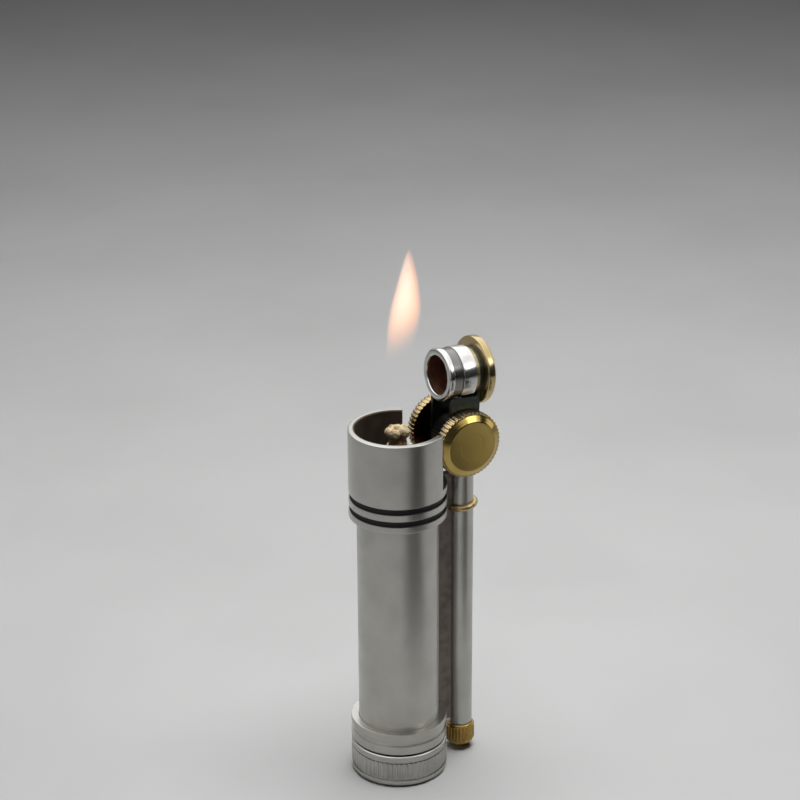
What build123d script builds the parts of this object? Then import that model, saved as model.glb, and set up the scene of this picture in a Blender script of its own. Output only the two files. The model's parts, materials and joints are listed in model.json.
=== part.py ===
"""A pocket petrol lighter: a fuel tube with a slotted chimney, a flint tube soldered
beside it, a knurled striker between the two, and a snuffer cup on a swinging arm.

Millimetres. The origin is the centre of the foot's flat face, +Z runs up the fuel tube,
+X points at the flint tube, and the striker's axle lies along Y.
"""
import math
import os

from build123d import *

# ---- driving dimensions -------------------------------------------------------------
RIM_Z = 62.0                # chimney rim above the flat foot
CHIMNEY_R = 8.0
CHIMNEY_BORE_R = 6.91
CHIMNEY_LENGTH = 15.2
TANK_R = 6.705
TANK_WALL = 0.5
WICK_TUBE_R = 1.75
WICK_BORE_R = 1.45
WICK_R = 1.40
FLINT_X = 11.907            # axis of the flint tube
FLINT_TUBE_R = 2.075
FLINT_BORE_R = 1.35         # takes the usual flint with room to slide
FLINT_R = 1.2
FLINT_LENGTH = 5.0
FLINT_GAP = 0.08            # between the flint's hollow top and the wheel's teeth
FLINT_TUBE_FOOT_Z = 5.0
FLINT_TUBE_TOP_Z = RIM_Z - 8.5
FLINT_SCREW_TOP_Z = 9.6
PLUNGER_HEAD = 1.2

AXLE_X = 10.45
AXLE_Z = RIM_Z - 3.43
AXLE_R = 0.90
RUNNING_FIT = 0.05          # radial clearance of a turning pin
SPARK_WHEEL_R = 3.3
SPARK_WHEEL_HALF_WIDTH = 1.65
THUMB_WHEEL_R = 5.57
THUMB_WHEEL_INNER_Y = 3.57
THUMB_WHEEL_RIM_Y = 5.35
THUMB_WHEEL_FACE_Y = 6.02
KNURL_COUNT = 48

FORK_INNER_Y = 1.75
FORK_OUTER_Y = 2.32
ARM_INNER_Y = 2.55
ARM_OUTER_Y = 3.25
ARM_SHEET = 0.70

SNUFFER_REACH = 10.75       # from the axle to the cup's axis
SNUFFER_LENGTH = 7.82       # from the cup's mouth to the disc's outer face
SNUFFER_TOP = 3.99          # disc's outer face above the axle, snuffer shut
SNUFFER_OPEN_DEG = 93.33    # turn from shut to open
CUP_R = 4.33
CUP_BORE_R = 3.19
DISC_R = 5.555
DISC_THICKNESS = 1.34
LINER_WALL = 0.24
RIVET_R = 0.9

FOOT_R = 8.0                # unscrewing foot, which closes the fuel tube
FOOT_HEIGHT = 5.8
COLLAR_HEIGHT = 3.8
FOOT_THREAD_R = 5.0
THREAD_FIT = 0.06           # radial clearance of the foot's thread
GASKET_GAP = 0.4

# ---- values that follow from them -----------------------------------------------------
CHIMNEY_FOOT_Z = RIM_Z - CHIMNEY_LENGTH
TANK_BORE_R = TANK_R - TANK_WALL
TANK_FOOT_Z = FOOT_HEIGHT + GASKET_GAP
TANK_TOP_Z = RIM_Z - 12.0
COLLAR_TOP_Z = TANK_FOOT_Z + COLLAR_HEIGHT
WICK_TUBE_TOP_Z = RIM_Z - 2.9
WADDING_R = TANK_BORE_R - 0.1
WADDING_TOP_Z = TANK_TOP_Z - 2.0
FELT_Z = COLLAR_TOP_Z + 0.4
FLINT_TOP_Z = AXLE_Z - math.sqrt((SPARK_WHEEL_R + FLINT_GAP) ** 2 - (FLINT_X - AXLE_X) ** 2)
FLINT_FOOT_Z = FLINT_TOP_Z - FLINT_LENGTH
SPRING_TOP_Z = FLINT_FOOT_Z - PLUNGER_HEAD
CUP_AXIS_X = AXLE_X - SNUFFER_REACH
CUP_MOUTH_Z = AXLE_Z + SNUFFER_TOP - SNUFFER_LENGTH
CUP_FLOOR_Z = CUP_MOUTH_Z + 5.1
DISC_FOOT_Z = AXLE_Z + SNUFFER_TOP - DISC_THICKNESS
ARM_PLATE_FOOT_Z = DISC_FOOT_Z - ARM_SHEET
BREAK = 0.15                # small broken edge on turned metal


# ---- shared shapes ----------------------------------------------------------------------
def turned(profile, x=0.0):
    """Solid turned about a vertical axis at x, from (radius, height) corners."""
    corners = [(radius, 0, height) for radius, height in profile]
    face = make_face(Polyline(*corners, close=True))
    return Pos(x, 0, 0) * revolve(face, Axis.Z)


def rod(radius, low_z, high_z, x=0.0):
    """Upright round bar between two heights."""
    return Pos(x, 0, (low_z + high_z) / 2) * Cylinder(radius, high_z - low_z)


def ring(outer_r, inner_r, low_z, high_z, x=0.0):
    """Upright round ring or tube between two heights."""
    return rod(outer_r, low_z, high_z, x) - rod(inner_r, low_z - 1, high_z + 1, x)


def cross_bar(radius, half_length):
    """Round bar along the axle's line, centred on the XZ plane."""
    return Pos(AXLE_X, 0, AXLE_Z) * Rot(90, 0, 0) * Cylinder(radius, 2 * half_length)


def block(low, high):
    """Box between two corners."""
    size = [top - bottom for bottom, top in zip(low, high)]
    centre = [(top + bottom) / 2 for bottom, top in zip(low, high)]
    return Pos(*centre) * Box(*size)


def knurled_outline(radius, count, groove_r, groove_centre):
    """Round outline with straight knurling: one round groove per rib."""
    outline = Circle(radius)
    for place in PolarLocations(groove_centre, count):
        outline -= place * Circle(groove_r)
    return outline


def both_sides(upright):
    """Front and back copies of a shape built on +Z, laid along -Y and +Y on the axle."""
    front = Pos(AXLE_X, 0, AXLE_Z) * Rot(90, 0, 0) * upright
    back = Pos(AXLE_X, 0, AXLE_Z) * Rot(-90, 0, 0) * upright
    return front, back


def swing_open(shape):
    """Turn a shape built in the shut position to the open one, about the axle."""
    return shape.rotate(Axis((AXLE_X, 0, AXLE_Z), (0, 1, 0)), SNUFFER_OPEN_DEG)


# ---- fuel tube ---------------------------------------------------------------------------
def tank_tube():
    return ring(TANK_R, TANK_BORE_R, TANK_FOOT_Z, TANK_TOP_Z)


def chimney():
    """Windshield sleeve: it grips the tank, and its wall is cut away towards the striker."""
    seat_z = TANK_TOP_Z
    slot_foot_z = RIM_Z - 9.6
    slot_half_deg = 54
    groove_depth = 0.45
    sleeve = turned([
        (TANK_R, CHIMNEY_FOOT_Z),
        (CHIMNEY_R - BREAK, CHIMNEY_FOOT_Z),
        (CHIMNEY_R, CHIMNEY_FOOT_Z + BREAK),
        (CHIMNEY_R, RIM_Z - BREAK),
        (CHIMNEY_R - BREAK, RIM_Z),
        (CHIMNEY_BORE_R + BREAK, RIM_Z),
        (CHIMNEY_BORE_R, RIM_Z - BREAK),
        (CHIMNEY_BORE_R, seat_z),
        (TANK_R, seat_z),
    ])
    spans = [(RIM_Z - 11.84, RIM_Z - 10.87), (RIM_Z - 13.96, RIM_Z - 13.01)]
    for low, high in spans:
        sleeve -= ring(CHIMNEY_R + 1, CHIMNEY_R - groove_depth, low, high)
    reach = 2 * CHIMNEY_R
    side = reach * math.tan(math.radians(slot_half_deg))
    wedge = make_face(Polyline((0, 0), (reach, side), (reach, -side), close=True))
    slot = Pos(0, 0, slot_foot_z) * extrude(wedge, RIM_Z - slot_foot_z + 1)
    return sleeve - slot


def burner_plate():
    """Disc that closes the tank, with the wick tube through it."""
    flange_z = TANK_TOP_Z + 0.6
    plate = rod(CHIMNEY_BORE_R - 0.03, TANK_TOP_Z, flange_z)
    plate += rod(TANK_BORE_R, TANK_TOP_Z - 1.6, TANK_TOP_Z)
    return plate - rod(WICK_TUBE_R, TANK_TOP_Z - 3, flange_z + 1)


def wick_tube():
    return ring(WICK_TUBE_R, WICK_BORE_R, TANK_TOP_Z - 4.5, WICK_TUBE_TOP_Z)


def wick():
    """Cotton cord, from deep in the wadding to the mouth of its tube."""
    return rod(WICK_R, 20.0, WICK_TUBE_TOP_Z)


def wick_head():
    """Frayed cotton above the tube: a stem that spreads into a soft crowned knob."""
    top_z = RIM_Z + 0.35
    head_r = 2.2
    return turned([
        (0, WICK_TUBE_TOP_Z),
        (1.4, WICK_TUBE_TOP_Z),
        (1.4, top_z - 2.0),
        (head_r, top_z - 1.5),
        (head_r, top_z - 0.7),
        (1.4, top_z),
        (0, top_z),
    ])


def cotton_wadding():
    """Packed cotton that holds the fuel, round the wick and its tube."""
    pack = rod(WADDING_R, FELT_Z + 1.6, WADDING_TOP_Z)
    return pack - rod(WICK_TUBE_R + 0.05, 19.9, WADDING_TOP_Z + 1)


def felt_pad():
    """Felt disc that keeps the wadding in while the foot is off."""
    return rod(WADDING_R, FELT_Z, FELT_Z + 1.5)


def tank_collar():
    """Turned collar soldered round the foot of the tank, with one groove."""
    collar = ring(FOOT_R, TANK_R, TANK_FOOT_Z, COLLAR_TOP_Z)
    groove_z = TANK_FOOT_Z + 1.5
    return collar - ring(FOOT_R + 1, FOOT_R - 0.35, groove_z, groove_z + 0.95)


def tank_thread_ring():
    """Ring soldered inside the tank's foot, which carries the foot's thread."""
    return ring(TANK_BORE_R, FOOT_THREAD_R + THREAD_FIT, TANK_FOOT_Z, COLLAR_TOP_Z + 0.2)


def filler_cap():
    """Knurled foot that unscrews for filling: a flat-bottomed cup with a hollow shank."""
    knurl_low, knurl_high = 1.5, 4.4
    relief = 0.3
    base = turned([
        (0, 0),
        (FOOT_R - 0.5, 0),
        (FOOT_R, 0.5),
        (FOOT_R, knurl_low - relief),
        (FOOT_R - relief, knurl_low - relief),
        (FOOT_R - relief, knurl_high + relief),
        (FOOT_R, knurl_high + relief),
        (FOOT_R, FOOT_HEIGHT - BREAK),
        (FOOT_R - BREAK, FOOT_HEIGHT),
        (0, FOOT_HEIGHT),
    ])
    outline = knurled_outline(FOOT_R, 60, 0.26, FOOT_R + 0.06)
    band = Pos(0, 0, knurl_low) * extrude(outline, knurl_high - knurl_low)
    shank = rod(FOOT_THREAD_R, FOOT_HEIGHT, FOOT_HEIGHT + 3.5)
    hollow = rod(FOOT_THREAD_R - 0.8, 3.0, FOOT_HEIGHT + 4)
    return base + band + shank - hollow


def filler_gasket():
    """Flat washer that seals the foot against the tank."""
    gap = 0.02
    return ring(TANK_R - 0.1, FOOT_THREAD_R + THREAD_FIT, FOOT_HEIGHT + gap, TANK_FOOT_Z - gap)


# ---- flint tube ----------------------------------------------------------------------------
def spine_rail():
    """Narrow strip soldered in the gap between the two tubes, all the way up."""
    half_width = 0.6
    strip = block((TANK_R - 0.6, -half_width, TANK_FOOT_Z),
                  (FLINT_X, half_width, FLINT_TUBE_TOP_Z - 1.4))
    strip -= rod(TANK_R, 0, RIM_Z)
    strip -= rod(CHIMNEY_R, CHIMNEY_FOOT_Z, RIM_Z)
    strip -= rod(FOOT_R, 0, COLLAR_TOP_Z)
    return strip - rod(FLINT_TUBE_R, 0, RIM_Z, FLINT_X)


def flint_tube():
    return ring(FLINT_TUBE_R, FLINT_BORE_R, FLINT_TUBE_FOOT_Z, FLINT_TUBE_TOP_Z, FLINT_X)


def flint_tube_bead():
    """Rounded brass ring round the flint tube."""
    middle_z = RIM_Z - 16.0
    half_height = 0.5
    edge_r = FLINT_TUBE_R + 0.3
    crown_r = 2.8
    arc = ThreePointArc((edge_r, 0, middle_z - half_height),
                        (crown_r, 0, middle_z),
                        (edge_r, 0, middle_z + half_height))
    sides = Polyline((edge_r, 0, middle_z + half_height),
                     (FLINT_TUBE_R, 0, middle_z + half_height),
                     (FLINT_TUBE_R, 0, middle_z - half_height),
                     (edge_r, 0, middle_z - half_height))
    bead = revolve(make_face(arc + sides), Axis.Z)
    rail_notch = block((-FLINT_X, -0.6, 0), (0, 0.6, RIM_Z))
    return Pos(FLINT_X, 0, 0) * (bead - rail_notch)


def flint():
    """Flint rod, worn hollow on top by the spark wheel."""
    bar = rod(FLINT_R, FLINT_FOOT_Z, AXLE_Z, FLINT_X)
    return bar - cross_bar(SPARK_WHEEL_R + FLINT_GAP, 3)


def flint_plunger():
    """Brass follower: a head under the flint and a stem down inside the spring."""
    plunger = rod(FLINT_R, SPRING_TOP_Z, FLINT_FOOT_Z, FLINT_X)
    return plunger + rod(0.45, SPRING_TOP_Z - 3.8, SPRING_TOP_Z, FLINT_X)


def flint_spring():
    """Coil spring that pushes the flint up against the wheel."""
    wire_r = 0.15
    coil_r = 1.0
    turns = 26
    height = SPRING_TOP_Z - FLINT_SCREW_TOP_Z - 2 * wire_r
    line = Helix(height / turns, height, coil_r)
    section = Plane(origin=line @ 0, z_dir=line % 0) * Circle(wire_r)
    return Pos(FLINT_X, 0, FLINT_SCREW_TOP_Z + wire_r) * sweep(section, path=line, is_frenet=True)


def flint_screw():
    """Knurled screw that closes the flint tube and backs the spring."""
    head_r = 2.5
    low_z = 1.0
    high_z = FLINT_TUBE_FOOT_Z - 0.12
    outline = knurled_outline(head_r, 26, 0.2, head_r + 0.04)
    band = Pos(0, 0, low_z + 0.8) * extrude(outline, high_z - low_z - 1.3)
    head = turned([
        (0, low_z),
        (head_r - 0.6, low_z),
        (head_r - 0.25, low_z + 0.35),
        (head_r - 0.25, high_z - BREAK),
        (head_r - 0.25 - BREAK, high_z),
        (0, high_z),
    ])
    coin_slot = block((-head_r, -0.4, 0), (head_r, 0.4, low_z + 0.8))
    shank = rod(FLINT_BORE_R - RUNNING_FIT, high_z, FLINT_SCREW_TOP_Z)
    return Pos(FLINT_X, 0, 0) * (head + band + shank - coin_slot)


# ---- striker --------------------------------------------------------------------------------
def wheel_fork():
    """Stirrup on top of the flint tube: a socketed floor and two cheeks with axle holes."""
    floor_x = (FLINT_X - 2.25, FLINT_X + 2.0)
    floor_top_z = FLINT_TUBE_TOP_Z + 1.1
    ear_r = 1.95
    outline = Polyline((floor_x[0], FLINT_TUBE_TOP_Z), (floor_x[1], FLINT_TUBE_TOP_Z),
                       (AXLE_X + ear_r, AXLE_Z), (AXLE_X - ear_r, AXLE_Z), close=True)
    ear = make_face(outline) + Pos(AXLE_X, AXLE_Z) * Circle(ear_r)
    slab = Rot(90, 0, 0) * extrude(ear, FORK_OUTER_Y, both=True)
    gap = block((AXLE_X - 5, -FORK_INNER_Y, floor_top_z), (AXLE_X + 5, FORK_INNER_Y, RIM_Z))
    socket = rod(FORK_OUTER_Y, FLINT_TUBE_TOP_Z - 1.2, FLINT_TUBE_TOP_Z, FLINT_X)
    socket -= rod(FLINT_TUBE_R, 0, FLINT_TUBE_TOP_Z, FLINT_X)
    fork = slab - gap + socket
    fork -= rod(FLINT_BORE_R, 0, floor_top_z + 1, FLINT_X)
    fork -= cross_bar(AXLE_R + RUNNING_FIT, 5)
    return fork


def wave_washers():
    """Two thin sprung washers between fork and arm, whose grip holds the arm still."""
    gap = 0.03
    washer = ring(1.9, AXLE_R + RUNNING_FIT, FORK_OUTER_Y + gap, ARM_INNER_Y - gap)
    return Compound(children=list(both_sides(washer)))


def axle():
    return cross_bar(AXLE_R, THUMB_WHEEL_RIM_Y - 0.6)


def spark_wheel():
    """Hardened wheel with saw teeth, which scrapes the flint."""
    teeth = 36
    root_r = SPARK_WHEEL_R - 0.35
    corners = []
    for index in range(teeth):
        start = 2 * math.pi * index / teeth
        lean = start + 0.25 * 2 * math.pi / teeth
        corners.append((root_r * math.cos(start), root_r * math.sin(start)))
        corners.append((SPARK_WHEEL_R * math.cos(lean), SPARK_WHEEL_R * math.sin(lean)))
    disc = make_face(Polyline(*corners, close=True)) - Circle(AXLE_R)
    wheel = extrude(disc, SPARK_WHEEL_HALF_WIDTH, both=True)
    return Pos(AXLE_X, 0, AXLE_Z) * Rot(90, 0, 0) * wheel


def thumb_wheels():
    """Front and back brass wheels: knurled rim, bevelled outer face, boss on the inside."""
    rim_width = THUMB_WHEEL_RIM_Y - THUMB_WHEEL_INNER_Y
    outline = knurled_outline(THUMB_WHEEL_R, KNURL_COUNT, 0.25, THUMB_WHEEL_R + 0.06)
    rim = Pos(0, 0, THUMB_WHEEL_INNER_Y) * extrude(outline, rim_width)
    shoulder_r = THUMB_WHEEL_R - 0.37
    face_r = 4.2
    bevel = turned([
        (0, THUMB_WHEEL_INNER_Y),
        (shoulder_r, THUMB_WHEEL_INNER_Y),
        (shoulder_r, THUMB_WHEEL_RIM_Y),
        (face_r, THUMB_WHEEL_FACE_Y),
        (0, THUMB_WHEEL_FACE_Y),
    ])
    boss = rod(1.9, ARM_OUTER_Y + 0.03, THUMB_WHEEL_INNER_Y + 0.5)
    hole = rod(AXLE_R, 0, THUMB_WHEEL_RIM_Y - 0.6)
    return both_sides(rim + bevel + boss - hole)


# ---- snuffer, built shut and then swung open ---------------------------------------------------
def snuffer_arm():
    """Folded steel channel: two cheeks on the axle and a plate that grips the cup's neck."""
    cheek_low = -2.75
    cheek_high = ARM_PLATE_FOOT_Z + ARM_SHEET - AXLE_Z
    cheek_end = -7.7
    web_start = -3.3
    pivot_r = 2.6
    outline = Polyline((cheek_end, cheek_low), (0, -pivot_r), (0, pivot_r),
                       (web_start, cheek_high), (cheek_end, cheek_high), close=True)
    cheek = make_face(outline) + Circle(pivot_r)
    slab = Pos(AXLE_X, 0, AXLE_Z) * Rot(90, 0, 0) * extrude(cheek, ARM_OUTER_Y, both=True)
    inside = block((AXLE_X - 20, -ARM_INNER_Y, 0), (AXLE_X + 5, ARM_INNER_Y, ARM_PLATE_FOOT_Z))
    heel = block((AXLE_X + web_start, -ARM_INNER_Y, 0), (AXLE_X + 5, ARM_INNER_Y, RIM_Z + 9))
    neck_gap = rod(CUP_R + 0.25, 0, ARM_PLATE_FOOT_Z, CUP_AXIS_X)
    tongue = block((CUP_AXIS_X, -ARM_OUTER_Y, ARM_PLATE_FOOT_Z),
                   (AXLE_X + cheek_end + 0.1, ARM_OUTER_Y, DISC_FOOT_Z))
    tongue += rod(CUP_R - 0.35, ARM_PLATE_FOOT_Z, DISC_FOOT_Z, CUP_AXIS_X)
    arm = slab - inside - heel - neck_gap + tongue
    arm -= rod(RIVET_R, 0, RIM_Z + 9, CUP_AXIS_X)
    arm -= cross_bar(AXLE_R + RUNNING_FIT, 5)
    return swing_open(arm)


def snuffer_cup():
    """Polished cup: flat lip with a broken edge, waist with a fine line, plain band, neck."""
    waist_r = CUP_R - 0.12
    profile = [
        (CUP_BORE_R, CUP_MOUTH_Z),
        (CUP_R - 0.2, CUP_MOUTH_Z),
        (CUP_R, CUP_MOUTH_Z + 0.15),
        (CUP_R, CUP_MOUTH_Z + 0.94),
        (waist_r, CUP_MOUTH_Z + 1.06),
        (waist_r, CUP_MOUTH_Z + 2.46),
        (waist_r - 0.12, CUP_MOUTH_Z + 2.5),
        (waist_r - 0.12, CUP_MOUTH_Z + 2.62),
        (CUP_R, CUP_MOUTH_Z + 2.7),
        (CUP_R, CUP_MOUTH_Z + 5.1),
        (CUP_R - 0.3, CUP_MOUTH_Z + 5.25),
        (CUP_R - 0.3, ARM_PLATE_FOOT_Z),
        (RIVET_R, ARM_PLATE_FOOT_Z),
        (RIVET_R, CUP_FLOOR_Z),
        (CUP_BORE_R + LINER_WALL, CUP_FLOOR_Z),
        (CUP_BORE_R + LINER_WALL, CUP_MOUTH_Z + 0.5),
        (CUP_BORE_R, CUP_MOUTH_Z + 0.5),
    ]
    return swing_open(turned(profile, CUP_AXIS_X))


def snuffer_liner():
    """Thin copper sleeve that lines the cup behind its lip."""
    gap = 0.01
    outer_r = CUP_BORE_R + LINER_WALL - gap
    return swing_open(ring(outer_r, CUP_BORE_R, CUP_MOUTH_Z + 0.5 + gap, CUP_FLOOR_Z - gap, CUP_AXIS_X))


def snuffer_disc():
    """Brass disc over the cup, which fills the chimney's mouth when shut."""
    disc = turned([
        (0, DISC_FOOT_Z),
        (DISC_R - BREAK, DISC_FOOT_Z),
        (DISC_R, DISC_FOOT_Z + BREAK),
        (DISC_R, DISC_FOOT_Z + DISC_THICKNESS - BREAK),
        (DISC_R - BREAK, DISC_FOOT_Z + DISC_THICKNESS),
        (0, DISC_FOOT_Z + DISC_THICKNESS),
    ], CUP_AXIS_X)
    return swing_open(disc - rod(RIVET_R, 0, DISC_FOOT_Z + 0.8, CUP_AXIS_X))


def snuffer_rivet():
    """Rivet that clamps cup, arm and disc together, flush with the cup's floor."""
    return swing_open(rod(RIVET_R, CUP_FLOOR_Z, DISC_FOOT_Z + 0.8, CUP_AXIS_X))


# ---- write one file per piece --------------------------------------------------------------------
front_wheel, back_wheel = thumb_wheels()
PIECES = {
    "tank_tube": tank_tube(),
    "chimney": chimney(),
    "burner_plate": burner_plate(),
    "wick_tube": wick_tube(),
    "wick": wick(),
    "wick_head": wick_head(),
    "cotton_wadding": cotton_wadding(),
    "felt_pad": felt_pad(),
    "tank_collar": tank_collar(),
    "tank_thread_ring": tank_thread_ring(),
    "filler_cap": filler_cap(),
    "filler_gasket": filler_gasket(),
    "spine_rail": spine_rail(),
    "flint_tube": flint_tube(),
    "flint_tube_bead": flint_tube_bead(),
    "flint": flint(),
    "flint_plunger": flint_plunger(),
    "flint_spring": flint_spring(),
    "flint_screw": flint_screw(),
    "wheel_fork": wheel_fork(),
    "wave_washers": wave_washers(),
    "axle": axle(),
    "spark_wheel": spark_wheel(),
    "thumb_wheel_front": front_wheel,
    "thumb_wheel_back": back_wheel,
    "snuffer_arm": snuffer_arm(),
    "snuffer_cup": snuffer_cup(),
    "snuffer_liner": snuffer_liner(),
    "snuffer_disc": snuffer_disc(),
    "snuffer_rivet": snuffer_rivet(),
}

os.makedirs("parts", exist_ok=True)
for node, solid in PIECES.items():
    export_step(solid, f"parts/{node}.step")
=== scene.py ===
"""Looks of a lit pocket petrol lighter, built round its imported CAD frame.

Metres, +Z up, in the frame's own coordinates: the fuel tube stands on the origin, the flint
tube is on its +X side and the striker's axle lies along Y. The snuffer is open at rest.
"""
import json
import logging
import math
import random
from dataclasses import dataclass
from enum import Enum
from typing import Any, Sequence

import bmesh
import bpy
from mathutils import Matrix, Vector


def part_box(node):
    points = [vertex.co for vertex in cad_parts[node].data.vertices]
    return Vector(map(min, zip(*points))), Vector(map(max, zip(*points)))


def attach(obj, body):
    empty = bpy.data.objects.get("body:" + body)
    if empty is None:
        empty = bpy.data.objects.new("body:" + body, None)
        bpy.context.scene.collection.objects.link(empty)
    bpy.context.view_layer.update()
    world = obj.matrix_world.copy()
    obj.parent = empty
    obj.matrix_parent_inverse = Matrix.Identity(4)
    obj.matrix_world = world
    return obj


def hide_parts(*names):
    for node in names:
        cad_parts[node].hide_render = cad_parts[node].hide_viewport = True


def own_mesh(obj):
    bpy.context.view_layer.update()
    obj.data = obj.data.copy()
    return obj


LOG = logging.getLogger("lighter")
MM = 0.001
FULL_TURN = math.tau
ORIGIN = Vector((0, 0, 0))
UPWARDS = Vector((0, 0, 1))
FRONT = Vector((0, -1, 0))
WELD = 2e-6              # vertices nearer than this, in metres, are one
LARGEST_FACE_WINS = 100  # setting of the weighted normals that keeps flats flat
FACING = 0.99            # least cosine between a face's normal and the way it looks
THINNEST = 1e-5          # half width left at the flame's tip, in metres
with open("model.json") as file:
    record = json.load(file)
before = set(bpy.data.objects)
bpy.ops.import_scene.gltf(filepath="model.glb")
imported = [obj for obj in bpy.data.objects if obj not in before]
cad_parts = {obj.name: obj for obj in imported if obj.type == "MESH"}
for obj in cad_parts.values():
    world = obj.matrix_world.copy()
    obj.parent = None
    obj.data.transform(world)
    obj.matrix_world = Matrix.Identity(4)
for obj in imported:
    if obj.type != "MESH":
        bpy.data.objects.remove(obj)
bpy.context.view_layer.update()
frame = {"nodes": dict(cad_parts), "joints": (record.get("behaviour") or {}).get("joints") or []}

Colour = tuple[float, float, float, float]
Socket = bpy.types.NodeSocket
Tree = bpy.types.NodeTree


# ---- colour and nodes -------------------------------------------------------------------
def linear(hex_colour: str) -> Colour:
    """Turns an sRGB hex colour into linear values.

    Args:
        hex_colour: six hex digits after a hash sign.

    Returns:
        Red, green, blue and an alpha of one.
    """
    parts = [int(hex_colour[start:start + 2], 16) / 255 for start in (1, 3, 5)]
    red, green, blue = [part / 12.92 if part <= 0.04045 else ((part + 0.055) / 1.055) ** 2.4
                        for part in parts]
    return red, green, blue, 1.0


def add_node(tree: Tree, kind: str, settings: dict[Any, Any] | None = None,
             links: dict[Any, Socket] | None = None) -> bpy.types.Node:
    """Adds a shader node with its settings and links.

    Args:
        tree: node tree that takes the node.
        kind: the node's type name.
        settings: attribute, input name or input number to its value; "stops" are a ramp's
            positions and colours, and "curve" a float curve's points.
        links: input name or number to the socket that feeds it.

    Returns:
        The new node.
    """
    node = tree.nodes.new(kind)
    for name, value in (settings or {}).items():
        if name == "stops":
            elements = node.color_ramp.elements
            while len(elements) < len(value):
                elements.new(0.5)
            for element, (position, colour) in zip(elements, value):
                element.position = position
                element.color = colour
        elif name == "curve":
            points = node.mapping.curves[0].points
            while len(points) < len(value):
                points.new(0.5, 0.5)
            for point, place in zip(points, value):
                point.location = place
            node.mapping.update()
        elif isinstance(name, str) and hasattr(node, name):
            setattr(node, name, value)
        else:
            node.inputs[name].default_value = value
    for name, source in (links or {}).items():
        tree.links.new(source, node.inputs[name])
    return node


def grain(tree: Tree, sizes_mm: tuple[float, float, float], detail: float = 2.0) -> Socket:
    """Noise on Object coordinates whose grains have the given size along X, Y and Z.

    Args:
        tree: node tree that takes the nodes.
        sizes_mm: grain size along each axis, in millimetres.
        detail: octaves of finer noise.

    Returns:
        The noise value's socket.
    """
    place = add_node(tree, "ShaderNodeTexCoord")
    scale = tuple(1 / (size * MM) for size in sizes_mm)
    mapping = add_node(tree, "ShaderNodeMapping", {"Scale": scale},
                       {"Vector": place.outputs["Object"]})
    noise = add_node(tree, "ShaderNodeTexNoise", {"Scale": 1.0, "Detail": detail},
                     {"Vector": mapping.outputs["Vector"]})
    return noise.outputs["Fac"]


def offset_from(tree: Tree, point: Vector) -> Socket:
    """Vector from a fixed point to the shaded point.

    Args:
        tree: node tree that takes the nodes.
        point: the fixed point.

    Returns:
        The vector's socket.
    """
    place = add_node(tree, "ShaderNodeTexCoord")
    offset = add_node(tree, "ShaderNodeVectorMath", {"operation": "SUBTRACT", 1: tuple(point)},
                      {0: place.outputs["Object"]})
    return offset.outputs["Vector"]


def axis_distance(tree: Tree, point: Vector, axis: Vector) -> Socket:
    """Distance, in metres, of the shaded point from a straight axis.

    Args:
        tree: node tree that takes the nodes.
        point: a point on the axis.
        axis: the axis's unit direction.

    Returns:
        The distance's socket.
    """
    cross = add_node(tree, "ShaderNodeVectorMath", {"operation": "CROSS_PRODUCT", 1: tuple(axis)},
                     {0: offset_from(tree, point)})
    length = add_node(tree, "ShaderNodeVectorMath", {"operation": "LENGTH"},
                      {0: cross.outputs["Vector"]})
    return length.outputs["Value"]


def axis_station(tree: Tree, point: Vector, axis: Vector) -> Socket:
    """Distance, in metres, of the shaded point along an axis from a point on it.

    Args:
        tree: node tree that takes the nodes.
        point: the point on the axis.
        axis: the axis's unit direction.

    Returns:
        The distance's socket.
    """
    along = add_node(tree, "ShaderNodeVectorMath", {"operation": "DOT_PRODUCT", 1: tuple(axis)},
                     {0: offset_from(tree, point)})
    return along.outputs["Value"]


def height_above_floor(tree: Tree) -> Socket:
    """Height, in metres, of the shaded point."""
    return axis_station(tree, ORIGIN, UPWARDS)


# ---- finishes ---------------------------------------------------------------------------
PATCH_EDGES = (0.42, 0.72)   # noise values between which one colour turns into the other
SHEEN_EDGES = (0.3, 0.7)     # noise values between which the roughness wanders
FILM_HIDES_METAL = 0.7       # share of the metal's mirror that the soot, and the painted shade in the grooves, hide


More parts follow.
